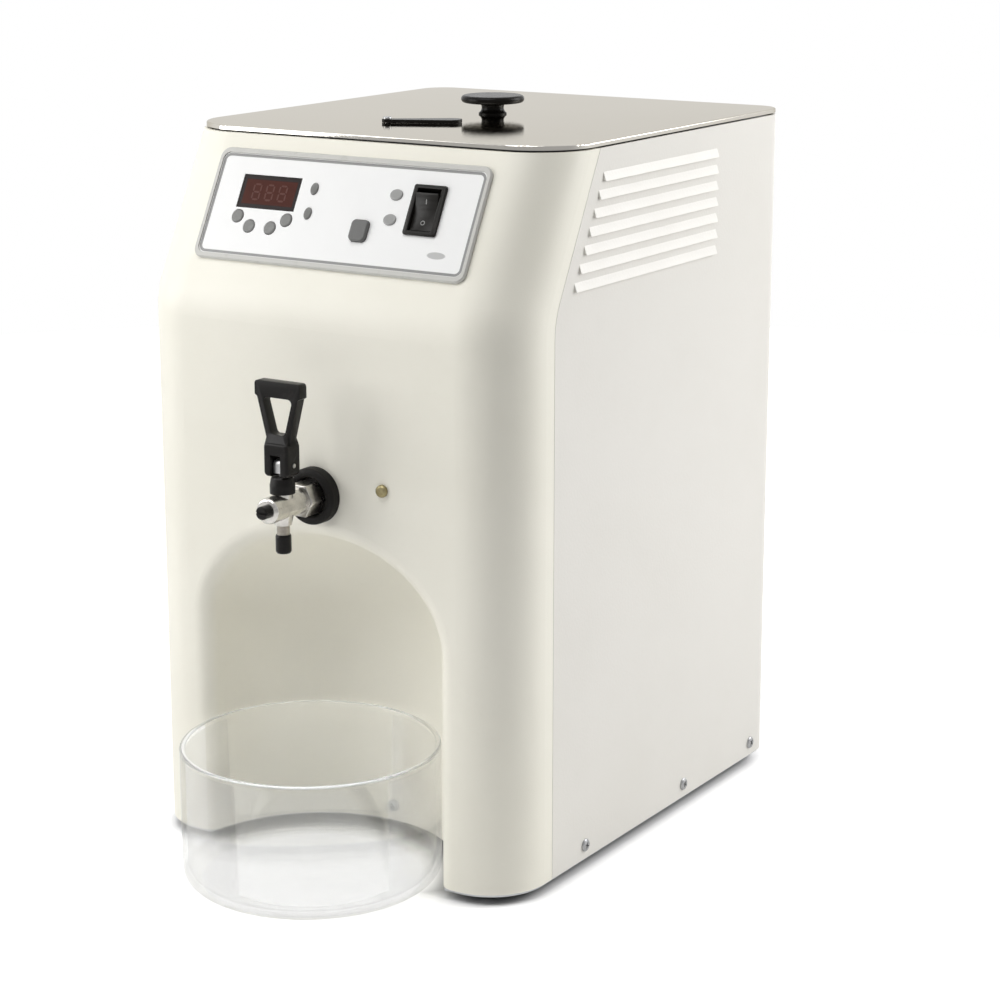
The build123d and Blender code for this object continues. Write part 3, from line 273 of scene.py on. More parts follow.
# what a moulding has unless its own row says otherwise
moulded = {"grain": (1800.0, 2.0), "depth": 0.00004, "shine": 0.35, "wear": (120.0, 5.0, 0.7),
           "wearFade": (0.52, 0.75), "wearRough": 0.14, "on": []}
mouldings = {
    "leverBlack": {"colour": colour(0.010, 0.009, 0.008), "shade": colour(0.020, 0.018, 0.016),
                   "rough": 0.32, "shine": 0.2,
                   "on": ["tap_lever", "tap_bonnet", "nozzle_tip", "cleaning_plug"]},
    "knobBlack": {"colour": colour(0.008, 0.007, 0.006), "shade": colour(0.016, 0.015, 0.014),
                  "rough": 0.26, "shine": 0.1, "on": ["lid_knob", "vent_cover"]},
    "rubberBlack": {"colour": colour(0.014, 0.013, 0.012), "shade": colour(0.03, 0.028, 0.026),
                    "rough": 0.55, "shine": 0.15, "grain": (900.0, 2.0), "depth": 0.0001,
                    "on": ["wall_ring", "shank_washer", "feet"]},
    "inletBlack": {"colour": colour(0.018, 0.018, 0.018), "shade": colour(0.03, 0.03, 0.03),
                   "rough": 0.34,
                   "on": ["power_inlet", "fuse_drawer", "cutout_thermostat", "display_module"]},
    "switchBlack": {"colour": colour(0.016, 0.015, 0.013), "shade": colour(0.028, 0.026, 0.023),
                    "rough": 0.34, "shine": 0.18, "on": ["rocker_switch", "rocker_frame"]},
    "keyGrey": {"colour": colour(0.22, 0.22, 0.21), "shade": colour(0.30, 0.30, 0.29),
                "rough": 0.42, "on": ["key_1", "key_2", "key_3", "key_4"]},
    "buttonGrey": {"colour": colour(0.15, 0.15, 0.145), "shade": colour(0.2, 0.2, 0.19),
                   "rough": 0.35, "on": ["push_button"]},
    "lensGrey": {"colour": colour(0.20, 0.20, 0.19), "shade": colour(0.27, 0.27, 0.26),
                 "rough": 0.12, "on": ["indicator_lenses"]},
    "lampGrey": {"colour": colour(0.36, 0.36, 0.35), "shade": colour(0.44, 0.44, 0.42),
                 "rough": 0.12, "on": ["pilot_lamps"]},
    "bezelGrey": {"colour": colour(0.60, 0.595, 0.56), "shade": colour(0.52, 0.515, 0.48),
                  "rough": 0.35, "on": ["control_bezel"]},
    "gasketRubber": {"colour": colour(0.62, 0.60, 0.56), "shade": colour(0.52, 0.50, 0.46),
                     "rough": 0.5, "on": ["lid_gasket"]},
    "seatRubber": {"colour": colour(0.26, 0.07, 0.04), "shade": colour(0.2, 0.05, 0.03),
                   "rough": 0.5, "on": ["seat_washer", "tank_heater"]},
    "nylonWhite": {"colour": colour(0.72, 0.71, 0.66), "shade": colour(0.62, 0.61, 0.56),
                   "rough": 0.4, "on": ["board_pillars", "terminal_block"]},
    "boardGreen": {"colour": colour(0.03, 0.14, 0.06), "shade": colour(0.05, 0.2, 0.09),
                   "rough": 0.3, "on": ["control_board"]},
    "chipBlack": {"colour": colour(0.03, 0.03, 0.035), "shade": colour(0.06, 0.06, 0.06),
                  "rough": 0.4, "on": ["board_components"]},
    "barRed": {"colour": colour(0.105, 0.036, 0.026), "shade": colour(0.09, 0.03, 0.022),
               "rough": 0.3, "shine": 0.2},
    "markWhite": {"colour": colour(0.34, 0.34, 0.33), "shade": colour(0.26, 0.26, 0.25),
                  "rough": 0.4},
}


def mouldedPart(name, look):
    # plastic or rubber with a mould's grain and handling marks
    material, shader, place = newFinish(name)
    wear = place.noise(*look["wear"]).step(*look["wearFade"])
    setShader(shader, place, Base_Color=wear.blend(look["colour"], look["shade"]),
              Roughness=look["rough"] + wear * look["wearRough"], Specular_IOR_Level=look["shine"],
              Normal=place.bump(place.noise(*look["grain"]), look["depth"]))
    return material


finishes = {}
for makeFinish, shared, rows in ((rolledSheet, {}, sheets), (turnedMetal, {}, turnedParts),
                                 (mouldedPart, moulded, mouldings)):
    for name, row in rows.items():
        look = {**shared, **row}
        finishes[name] = makeFinish(name, look)
        dress(finishes[name], *look["on"])

coilLook = {"steel": colour(0.20, 0.205, 0.21), "seam": colour(0.10, 0.10, 0.105),
            "tape": colour(0.62, 0.42, 0.10), "fold": colour(0.50, 0.32, 0.07),
            "middle": 0.100, "half": 0.0222, "border": 0.0002, "sheets": 9000.0,
            "seamFade": (0.2, 0.9), "wraps": 1400.0, "wrapFade": (0.6, 1.0), "shine": 0.8,
            "rough": 0.42, "dust": (260.0, 3.0), "dustRough": 0.15, "seamShare": 0.5,
            "depth": 0.00006, "strength": 0.5}


def coreAndCoil(name, look):
    # stacked steel sheets, and yellow tape where the winding stands out of the stack
    material, shader, place = newFinish(name)
    back = place.along((0, 1, 0), (0, look["middle"], 0))
    seams = place.math("SINE", back * look["sheets"]).step(*look["seamFade"])
    wraps = place.math("SINE", place.along((0, 0, 1)) * look["wraps"])
    wraps = wraps.step(*look["wrapFade"])
    tape = back.size().step(look["half"], look["half"] + look["border"])
    tone = tape.blend(seams.blend(look["steel"], look["seam"]),
                      wraps.blend(look["tape"], look["fold"]))
    setShader(shader, place, Base_Color=tone, Metallic=(1.0 - tape) * look["shine"],
              Roughness=look["rough"] + place.noise(*look["dust"]) * look["dustRough"],
              Normal=place.bump(seams * look["seamShare"] + wraps * tape, look["depth"],
                                look["strength"]))
    return material


dress(coreAndCoil("coreAndCoil", coilLook), "transformer")

jacketLook = {"colour": colour(0.74, 0.70, 0.58), "shade": colour(0.52, 0.47, 0.36),
              "stretch": (1.0, 1.0, 6.0), "strands": (240.0, 8.0, 0.8), "fade": (0.3, 0.75),
              "rough": 0.95, "depth": 0.0015}


def glassWool(name, look):
    material, shader, place = newFinish(name)
    strands = place.stretch(look["stretch"]).noise(*look["strands"])
    tone = strands.step(*look["fade"]).blend(look["shade"], look["colour"])
    setShader(shader, place, Base_Color=tone, Roughness=look["rough"],
              Normal=place.bump(strands, look["depth"]))
    return material


dress(glassWool("jacketWool", jacketLook), "tank_jacket")
print("finishes ready")

plateLook = {
    "white": colour(0.93, 0.93, 0.915), "line": colour(0.11, 0.11, 0.105),
    "middle": 0.055, "half": (0.0838, 0.0278), "corner": 0.0034,
    # the line's fade and strength set the painted shade along the film's edge
    "edgeShadeFade": (0.00063, 0.0009), "edgeShadeStrength": 0.8,
    "mark": (0.0668, 0.0366), "markHalf": (0.0056, 0.0019), "markFade": (0.8, 1.2), "markInk": 0.5,
    "haze": (60.0, 4.0), "hazeFade": (0.4, 0.8), "hazeInk": 0.012,
    "rough": 0.30, "dull": (200.0, 3.0), "dullRough": 0.05,
    "grain": (1600.0, 2.0), "grainDepth": 0.00003,
}


def filmWithPaintedEdgeShade(name, look):
    # white film with painted shade, a dark line just inside its edge where the gap to the bezel
    # lies, and one plain oval low on the right
    material, shader, place = newFinish(name)
    edge = place.along((1.0, 0.0, 0.0)).beyond(
        place.along(panelUp, panel["origin"]) - look["middle"], look["half"], look["corner"])
    # painted shade: a dark line just inside the film's edge, standing for the shadow in the gap to
    # the bezel
    line = 1.0 - edge.size().step(*look["edgeShadeFade"])
    haze = place.noise(*look["haze"]).step(*look["hazeFade"]) * look["hazeInk"]
    wide, tall = look["markHalf"]
    across = place.along((1 / wide, 0, 0), (look["mark"][0], 0, 0))
    up = (place.along(panelUp, panel["origin"]) - look["mark"][1]) * (1 / tall)
    mark = 1.0 - (across * across + up * up).step(*look["markFade"])
    # the ink mixes that painted edge shade with the oval and a faint haze
    ink = (line * look["edgeShadeStrength"]).over(mark * look["markInk"]).over(haze)
    setShader(shader, place, Base_Color=ink.blend(look["white"], look["line"]),
              Roughness=look["rough"] + place.noise(*look["dull"]) * look["dullRough"],
              Normal=place.bump(place.noise(*look["grain"]), look["grainDepth"]))
    return material


dress(filmWithPaintedEdgeShade("plateFilm", plateLook), "control_plate")

displayLook = {
    "rim": colour(0.012, 0.007, 0.006), "glass": colour(0.085, 0.024, 0.016),
    "at": (-0.0487, 0.0628), "half": (0.0168, 0.0070), "border": 0.0006, "shine": 0.2,
    "cloud": (180.0, 4.0), "cloudShare": 0.3, "rough": 0.12, "rimRough": 0.2,
    "grain": (900.0, 2.0), "grainDepth": 0.00002,
}


def redFilter(name, look):
    # dark rim round a red filter
    material, shader, place = newFinish(name)
    across = (place.along((1.0, 0.0, 0.0)) - look["at"][0]).size() - look["half"][0]
    up = (place.along(panelUp, panel["origin"]) - look["at"][1]).size() - look["half"][1]
    rim = across.over(up).step(-look["border"], look["border"])
    tone = rim.over(place.noise(*look["cloud"]) * look["cloudShare"])
    setShader(shader, place, Base_Color=tone.blend(look["glass"], look["rim"]),
              Roughness=look["rough"] + rim * look["rimRough"], Specular_IOR_Level=look["shine"],
              Normal=place.bump(place.noise(*look["grain"]), look["grainDepth"]))
    return material


dress(redFilter("displayFilter", displayLook), "display_window")
print("panel finishes ready")

# heights in metres above the bench; wall, rim and foot say how much of the glass is seen
dishLook = {
    # the edge colour is painted shade for the outline of glass seen edge on
    "tint": colour(0.99, 1.0, 0.995), "edge": colour(0.50, 0.53, 0.49),
    "wall": 0.24, "rim": 0.85, "foot": 0.36, "side": 0.3,
    "top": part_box("catch_dish")[1][2], "rimFade": (0.0035, 0.0015), "footFade": (0.004, 0.008),
    "wallFade": (0.006, 0.012), "turn": 0.3, "turnFade": (0.45, 0.97),
    "smear": (60.0, 5.0, 0.7), "smearFade": (0.5, 0.85), "smearShown": 0.06, "rough": 0.02,
    "smearRough": 0.05, "stretch": (1.0, 1.0, 0.35), "wave": (45.0, 2.0), "depth": 0.00035,
    "strength": 0.5,
}


def clearGlass(name, look):
    material, shader, place = newFinish(name)
    smear = place.noise(*look["smear"]).step(*look["smearFade"])
    # the thick rim and foot show most of the glass, the thin wall little of it
    height = place.along((0, 0, 1))
    low, high = (look["top"] - below for below in look["rimFade"])
    rim = height.step(low, high) * (look["rim"] - look["wall"])
    foot = (1.0 - height.step(*look["footFade"])) * (look["foot"] - look["wall"])
    # painted shade: the wall's outline is coloured darker where the glass is seen edge on,
    # standing for the dark refraction at its silhouette
    edgeOn = place.make("ShaderNodeLayerWeight", None, {"Blend": look["turn"]}, "Facing")
    side = edgeOn.step(*look["turnFade"]) * height.step(*look["wallFade"])
    shown = look["wall"] + rim + foot + smear * look["smearShown"] + side * look["side"]
    setShader(shader, place, Base_Color=side.blend(look["tint"], look["edge"]), Alpha=shown,
              Transmission_Weight=1.0, IOR=1.47,
              Roughness=look["rough"] + smear * look["smearRough"],
              Normal=place.bump(place.stretch(look["stretch"]).noise(*look["wave"]),
                                look["depth"], look["strength"]))
    return material


dress(clearGlass("dishGlass", dishLook), "catch_dish")


def meshPiece(name, shape):
    mesh = bpy.data.meshes.new(name)
    shape.to_mesh(mesh)
    shape.free()
    piece = bpy.data.objects.new(name, mesh)
    bpy.context.scene.collection.objects.link(piece)
    return piece


def applied(piece, name):
    # the piece with its modifiers made plain
    bpy.context.view_layer.update()
    mesh = bpy.data.meshes.new_from_object(
        piece.evaluated_get(bpy.context.evaluated_depsgraph_get()))
    mesh.name = name
    done = bpy.data.objects.new(name, mesh)
    bpy.context.scene.collection.objects.link(done)
    bpy.data.objects.remove(piece)
    return done


def fitted(piece, body, node=None):
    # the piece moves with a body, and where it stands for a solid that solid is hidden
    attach(piece, body)
    if node:
        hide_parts(node)


# edges rounded by moulding and machining; angles in degrees
rounding = {"segments": 2, "angle": 32, "clamp": False, "merge": 2e-6, "flat": 0.5}
roundedSolids = {
    "tap_lever": {"body": "lever", "slot": "lever_plastic", "width": 0.0006, "segments": 3,
                  "clamp": True},
    "shank_nuts": {"body": "housing", "slot": "nut_metal", "width": 0.0004},
    "rocker_switch": {"body": "rocker", "slot": "switch_rocker", "width": 0.0005},
    "rocker_frame": {"body": "housing", "slot": "switch_frame", "width": 0.0004},
    "power_inlet": {"body": "housing", "slot": "inlet_black", "width": 0.0004},
    "fuse_drawer": {"body": "drawer", "slot": "inlet_black", "width": 0.0003},
}


def softened(node, look):
    # a copy of a solid with a bevel on its sharp edges
    shape = bmesh.new()
    shape.from_mesh(nodes[node].data)
    bmesh.ops.remove_doubles(shape, verts=shape.verts, dist=look["merge"])
    bmesh.ops.dissolve_limit(shape, angle_limit=math.radians(look["flat"]), verts=shape.verts,
                             edges=shape.edges)
    bmesh.ops.recalc_face_normals(shape, faces=shape.faces)
    for face in shape.faces:
        face.smooth = True
    piece = meshPiece(node + "Round", shape)
    piece.data.materials.append(nodes[node].material_slots[0].material)
    bevel = piece.modifiers.new("edges", "BEVEL")
    bevel.width = look["width"]
    bevel.segments = look["segments"]
    bevel.limit_method = "ANGLE"
    bevel.angle_limit = math.radians(look["angle"])
    bevel.harden_normals = True
    bevel.use_clamp_overlap = look["clamp"]
    fitted(applied(piece, node + "Soft"), look["body"], node)


for node, look in roundedSolids.items():
    softened(node, {**rounding, **look})
print("edges rounded")


def prism(outline, low, high):
    # a closed slab over an outline given counterclockwise
    shape = bmesh.new()
    under, over = ([shape.verts.new((x, y, z)) for x, y in outline] for z in (low, high))
    shape.faces.new(under[::-1])
    shape.faces.new(over)
    for place in range(len(outline)):
        after = (place + 1) % len(outline)
        shape.faces.new((under[place], under[after], over[after], over[place]))
    return shape


def turned(profile, steps=28):
    # a profile of (radius, height) turned round the upright axis
    shape = bmesh.new()
    path = [shape.verts.new((radius, 0.0, height)) for radius, height in profile]
    edges = [shape.edges.new(pair) for pair in zip(path, path[1:])]
    bmesh.ops.spin(shape, geom=path + edges, cent=(0, 0, 0), axis=(0, 0, 1),
                   angle=2 * math.pi, steps=steps, use_merge=True)
    bmesh.ops.remove_doubles(shape, verts=shape.verts, dist=1e-6)
    bmesh.ops.holes_fill(shape, edges=shape.edges, sides=0)
    bmesh.ops.recalc_face_normals(shape, faces=shape.faces)
    return shape


def roundedOutline(width, height, radius, steps=6):
    points = []
    for quarter, (x, y) in enumerate(((1, 1), (-1, 1), (-1, -1), (1, -1))):
        for step in range(steps + 1):
            angle = (quarter + step / steps) * math.pi / 2
            points.append((x * (width / 2 - radius) + radius * math.cos(angle),
                           y * (height / 2 - radius) + radius * math.sin(angle)))
    return points


def joined(name, shapes, material):
    # several small solids as one piece
    whole = bmesh.new()
    for shape, place in shapes:
        bmesh.ops.transform(shape, matrix=place, verts=shape.verts)
        part = bpy.data.meshes.new("part")
        shape.to_mesh(part)
        shape.free()
        whole.from_mesh(part)
        bpy.data.meshes.remove(part)
    piece = meshPiece(name, whole)
    piece.data.materials.append(material)
    return piece


def facing(across, up, out, place):
    # a matrix that stands a shape on three directions at a place
    turn = Matrix((across, up, out)).transposed().to_4x4()
    return Matrix.Translation(place) @ turn


def fromRear(place):
    # upright on the rear panel, facing back
    return facing((-1, 0, 0), (0, 0, 1), (0, 1, 0), place)


def spread(count, pitch):
    # steps to either side of a row's middle
    return [(place - (count - 1) / 2) * pitch for place in range(count)]


# dome points are shares of the head's radius and height
screwLook = {"head": 0.0036, "height": 0.0015, "cross": 0.0036, "slot": 0.0008, "depth": 0.0011}
terminalLook = {"head": 0.0024, "height": 0.0010, "cross": 0.0030, "slot": 0.0006,
                "depth": 0.0007}
screwDome = ((1.0, 0.0), (1.0, 0.35), (0.86, 0.78), (0.6, 1.0), (0.0, 1.0))


def crossScrew(look):
    # a turned dome with a cross cut into it
    screw = meshPiece("screwShape", turned([(look["head"] * wide, look["height"] * tall)
                                            for wide, tall in screwDome]))
    cut = bmesh.new()
    for turn in (0.0, math.pi / 2):
        bmesh.ops.create_cube(cut, size=1.0, matrix=Matrix.Rotation(turn, 4, "Z") @
                              Matrix.Translation((0, 0, look["height"])) @
                              Matrix.Diagonal((look["cross"], look["slot"], 2 * look["depth"], 1)))
    cutter = meshPiece("crossShape", cut)
    carve = screw.modifiers.new("cross", "BOOLEAN")
    carve.operation = "DIFFERENCE"
    carve.solver = "EXACT"
    carve.use_self = True
    carve.object = cutter
    done = applied(screw, "screwHead")
    bpy.data.objects.remove(cutter)
    return done


def rowTree():
    # one shape on every point, stood along the point's aim, turned by its turn and a random spin
    tree = bpy.data.node_groups.new("rows", "GeometryNodeTree")
    for name, kind in (("Geometry", "NodeSocketGeometry"), ("Shape", "NodeSocketObject"),
                       ("Finish", "NodeSocketMaterial"), ("Seed", "NodeSocketInt"),
                       ("Spin", "NodeSocketFloat")):
        tree.interface.new_socket(name, in_out="INPUT", socket_type=kind)
    tree.interface.new_socket("Geometry", in_out="OUTPUT", socket_type="NodeSocketGeometry")
    start = Wire(tree)
    given = tree.nodes.new("NodeGroupInput")
    result = tree.nodes.new("NodeGroupOutput")
    points, shape, finish, seed, most = (Wire(tree, given.outputs[place]) for place in range(5))
    aim = start.make("GeometryNodeInputNamedAttribute", {"data_type": "FLOAT_VECTOR"},
                     {"Name": "aim"})
    turn = start.make("GeometryNodeInputNamedAttribute", {"data_type": "FLOAT"}, {"Name": "turn"})
    stood = start.make("FunctionNodeAlignRotationToVector", {"axis": "Z"}, {"Vector": aim})
    spin = start.make("FunctionNodeRandomValue", {"data_type": "FLOAT"},
                      {2: 0.0, 3: most, "Seed": seed}, 1)
    angle = start.make("ShaderNodeCombineXYZ", None, {"Z": turn + spin})
    rotation = start.make("FunctionNodeRotateRotation", {"rotation_space": "LOCAL"},
                          {"Rotation": stood, "Rotate By": angle})
    head = start.make("GeometryNodeObjectInfo", None, {"Object": shape}, "Geometry")
    rows = start.make("GeometryNodeInstanceOnPoints", None,
                      {"Points": points, "Instance": head, "Rotation": rotation})
    solid = start.make("GeometryNodeRealizeInstances", None, {"Geometry": rows})
    done = start.make("GeometryNodeSetMaterial", None, {"Geometry": solid, "Material": finish})
    start.plug(result.inputs[0], done)
    return tree


rowsTree = rowTree()


def rowOf(shape, name, spots, finish, seed=0, spin=0.0):
    # spots: (place, aim, turn) in metres and radians
    rows = bmesh.new()
    for place, _, _ in spots:
        rows.verts.new(place)
    piece = meshPiece(name + "Points", rows)
    given = piece.data.attributes
    given.new("aim", "FLOAT_VECTOR", "POINT")
    given.new("turn", "FLOAT", "POINT")
    for index, (_, aim, turn) in enumerate(spots):
        given["aim"].data[index].vector = aim
        given["turn"].data[index].value = turn
    scatter = piece.modifiers.new("rows", "NODES")
    scatter.node_group = rowsTree
    values = {"Shape": shape, "Finish": finish, "Seed": seed, "Spin": spin}
    for socket in rowsTree.interface.items_tree:
        if socket.in_out == "INPUT" and socket.name in values:
            scatter[socket.identifier] = values[socket.name]
    return applied(piece, name)


# each row of screws: where its heads sit, and the seed that turns their slots
sideScrews = {"rows": (-0.0357, 0.078, 0.164), "height": 0.014, "face": 0.1225,
              "niche": (0.0, -0.0431, 0.015), "seed": 3}
rearScrews = {"across": 0.100, "rows": (0.030, 0.150, 0.270, 0.378), "face": 0.190, "seed": 5}
terminals = {"middle": (-0.020, 0.150, 0.023), "pitch": 0.010, "count": 6, "seed": 8}


def placeScrews(side, rear, block):
    screw, terminal = crossScrew(screwLook), crossScrew(terminalLook)
    coverSpots = [((way * side["face"], row, side["height"]), (way, 0, 0), 0.0)
                  for way in (-1, 1) for row in side["rows"]]
    coverSpots.append((side["niche"], (0, -1, 0), 0.0))
    rearSpots = [((way * rear["across"], rear["face"], row), (0, 1, 0), 0.0)
                 for way in (-1, 1) for row in rear["rows"]]
    across, back, height = block["middle"]
    blockSpots = [((across + step, back, height), (0, 0, 1), 0.0)
                  for step in spread(block["count"], block["pitch"])]
    for name, node, shape, spots, seed in (
            ("coverScrewHeads", "cover_screws", screw, coverSpots, side["seed"]),
            ("rearScrewHeads", "rear_screws", screw, rearSpots, rear["seed"]),
            ("terminalHeads", None, terminal, blockSpots, block["seed"])):
        heads = rowOf(shape, name, spots, finishes["screwZinc"], seed, math.pi)
        fitted(heads, "housing", node)
    bpy.data.objects.remove(screw)
    bpy.data.objects.remove(terminal)


placeScrews(sideScrews, rearScrews, terminals)
print("screws placed")

figures = {"count": 3, "pitch": 0.0086, "wide": 0.0023, "tall": 0.0043, "length": 0.0038,
           "width": 0.0010, "thick": 0.00006, "out": 0.0008}


def figureBars(look, middle):
    # unlit figures of seven bars, just behind the face of the red filter
    half, tip = look["length"] / 2, look["width"] / 2
    outline = [(half, 0), (half - tip, tip), (tip - half, tip), (-half, 0), (tip - half, -tip),
               (half - tip, -tip)]
    bar = meshPiece("barShape", prism(outline, 0.0, look["thick"]))
    lying = [(0, level, 0.0) for level in (-1, 0, 1)]
    standing = [(side, level, math.pi / 2) for side in (-1, 1) for level in (-0.5, 0.5)]
    spots = []
    for step in spread(look["count"], look["pitch"]):
        for side, level, turn in lying + standing:
            place = panelPoint(middle[0] + step + side * look["wide"],
                               middle[1] + level * look["tall"], look["out"])
            spots.append((place, panelOut, turn))
    fitted(rowOf(bar, "figureBars", spots, finishes["barRed"]), "housing")
    bpy.data.objects.remove(bar)


figureBars(figures, displayLook["at"])

springLook = {"turns": 6, "wire": 0.00035, "lift": 0.0025, "steps": 28, "sides": 10}


def coilSpring(look, low, high):
    # round wire wound round the stem between its foot and the bonnet's roof
    middle = (low + high) / 2
    radius = (high[0] - low[0]) / 2 - look["wire"]
    start, run = low[2] + look["wire"], high[2] - low[2] - 2 * look["wire"]
    sideAngles = [side * 2 * math.pi / look["sides"] for side in range(look["sides"])]
    shape = bmesh.new()
    rings = []
    for step in range(look["turns"] * look["steps"] + 1):
        share = step / (look["turns"] * look["steps"])
        angle = share * look["turns"] * 2 * math.pi
        out = Vector((math.cos(angle), math.sin(angle), 0.0))
        centre = Vector((middle[0], middle[1], start + run * share)) + out * radius
        rings.append([shape.verts.new(centre + look["wire"] * (
            out * math.cos(turn) + Vector((0, 0, 1)) * math.sin(turn))) for turn in sideAngles])
    for before, after in zip(rings, rings[1:]):
        for side in range(look["sides"]):
            following = (side + 1) % look["sides"]
            shape.faces.new((before[side], before[following], after[following], after[side]))
    shape.faces.new(rings[0])
    shape.faces.new(rings[-1])
    bmesh.ops.recalc_face_normals(shape, faces=shape.faces)
    for face in shape.faces:
        face.smooth = len(face.verts) == 4
    spring = meshPiece("coilSpring", shape)
    spring.data.materials.append(finishes["stemSteel"])
    fitted(spring, "housing", "valve_spring")
    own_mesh(spring)


coilSpring(springLook, *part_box("valve_spring"))

# tilt in degrees; the rocker's face is hollow, with the radius given
rockerMarks = {"axle": (0.0533, 0.0602, -0.005), "tilt": 9.0, "reach": 0.0056, "out": 0.00704,
               "hollow": 0.0333, "bar": (0.0005, 0.0026), "barRound": 0.45,
               "ring": (0.0009, 0.0013), "thick": 0.00010}


def markRocker(look):
    # a bar above and a ring below, laid on the hollow face of the rocker
    tilt = math.radians(look["tilt"])
    up = Vector(panelUp) * math.cos(tilt) + Vector(panelOut) * math.sin(tilt)
    out = Vector(panelOut) * math.cos(tilt) - Vector(panelUp) * math.sin(tilt)
    axle = panelPoint(*look["axle"])
    low, high = -look["thick"] / 2, look["thick"]
    inner, outer = look["ring"]
    bar = prism(roundedOutline(*look["bar"], look["bar"][0] * look["barRound"]), low, high)
    ring = turned([(inner, low), (outer, low), (outer, high), (inner, high), (inner, low)], 32)
    solids = []
    for side, shape in ((1, bar), (-1, ring)):
        lean = side * look["reach"] / look["hollow"]
        upHere = up * math.cos(lean) + out * math.sin(lean)
        outHere = out * math.cos(lean) - up * math.sin(lean)
        place = axle + up * side * look["reach"] + out * look["out"]
        solids.append((shape, facing((1, 0, 0), upHere, outHere, place)))
    fitted(joined("rockerMarks", solids, finishes["markWhite"]), "rocker")


markRocker(rockerMarks)

inletPins = {"spots": ((-0.062, 0.0555), (-0.069, 0.051), (-0.055, 0.051)),
             "size": (0.0021, 0.0041), "corner": 0.0003, "from": 0.1750, "to": 0.18756,
             "tip": 0.0006}


def makePins(look):
    # three flat pins with their ends bevelled
    solids = []
    for across, height in look["spots"]:
        pin = prism(roundedOutline(*look["size"], look["corner"], 2), 0.0,
                    look["to"] - look["from"])
        ends = [edge for edge in pin.edges
                if all(vertex.co.z > look["tip"] for vertex in edge.verts)]
        bmesh.ops.bevel(pin, geom=ends, offset=look["tip"], segments=2, affect="EDGES")
        solids.append((pin, fromRear((across, look["from"], height))))
    fitted(joined("inletPins", solids, finishes["screwZinc"]), "housing")


makePins(inletPins)

# the rating plate at the back is left blank
ratingLook = {
    "size": (0.062, 0.040), "corner": 0.003, "thick": 0.0005, "place": (0.035, 0.190, 0.070),
    "silver": colour(0.62, 0.62, 0.61), "ink": colour(0.10, 0.10, 0.10),
    "border": 0.0022, "borderCorner": 0.0022, "borderFade": (0.00015, 0.0003),
    "rowPitch": 0.0058, "ruleFade": (0.00008, 0.0002), "ruleEnd": (-0.0045, -0.004),
    "ruleInk": 0.7, "stretch": (1.0, 1.0, 70.0), "brush": (60.0, 5.0, 0.7), "brushInk": 0.2,
    "rough": 0.3, "brushRough": 0.12, "depth": 0.00001, "strength": 0.4,
    "rivet": 0.0013, "rivetInset": 0.0045,
    "rivetDome": ((1.0, 0.0), (0.95, 0.0003), (0.6, 0.0007), (0.0, 0.0008)),
}


def ratingMetal(name, look):
    # brushed aluminium with a printed frame and empty ruled lines
    material, shader, place = newFinish(name)
    across = place.along((1, 0, 0), look["place"])
    up = place.along((0, 0, 1), look["place"])
    half = [size / 2 - look["border"] for size in look["size"]]
    edge = across.beyond(up, half, look["borderCorner"])
    border = 1.0 - edge.size().step(*look["borderFade"])
    wave = place.math("PINGPONG", up + look["rowPitch"] * 0.5, look["rowPitch"] / 2)
    rule = (1.0 - wave.step(*look["ruleFade"])) * (1.0 - edge.step(*look["ruleEnd"]))
    brushed = place.stretch(look["stretch"]).noise(*look["brush"])
    ink = border.over(rule * look["ruleInk"]).over(brushed * look["brushInk"])
    setShader(shader, place, Base_Color=ink.blend(look["silver"], look["ink"]),
              Metallic=1.0 - border.over(rule),
              Roughness=look["rough"] + brushed * look["brushRough"],
              Normal=place.bump(brushed, look["depth"], look["strength"]))
    return material


def makeRating(look):
    # a thin plate held by two rivets
    slab = prism(roundedOutline(*look["size"], look["corner"]), 0.0, look["thick"])
    plate = joined("ratingPlate", [(slab, fromRear(look["place"]))],
                   ratingMetal("ratingMetal", look))
    fitted(plate, "housing")
    rivet = meshPiece("rivetShape", turned([(look["rivet"] * wide, tall)
                                            for wide, tall in look["rivetDome"]], 20))
    across, back, height = look["place"]
    reach = look["size"][0] / 2 - look["rivetInset"]
    spots = [((across + side * reach, back + look["thick"], height), (0, 1, 0), 0.0)
             for side in (-1, 1)]
    fitted(rowOf(rivet, "plateRivets", spots, finishes["screwZinc"]), "housing")
    bpy.data.objects.remove(rivet)


makeRating(ratingLook)
print("small fittings made")

# the footprint is a rounded rectangle less the round bay of the niche
# under is the colour of painted shade beneath the housing
stage = {"size": 1.6, "floor": colour(0.93, 0.93, 0.93), "under": colour(0.3, 0.3, 0.3),
         "middle": 0.0385, "half": (0.121, 0.150), "corner": 0.032, "bay": (-0.122, 0.066),
         "contactShadeFade": (-0.012, 0.003), "lift": 0.34, "liftFade": (-0.002, 0.009),
         "farLift": 0.8, "farFade": (0.25, 0.8), "rough": 0.9, "paper": (900.0, 3.0),
         "paperDepth": 0.00003}


def lightRay(start, kind):
    return start.make("ShaderNodeLightPath", None, None, kind)


def seenRay(start):
    # 1 where the camera looks straight, or through the glass
    return lightRay(start, "Is Camera Ray").over(lightRay(start, "Is Transmission Ray"))


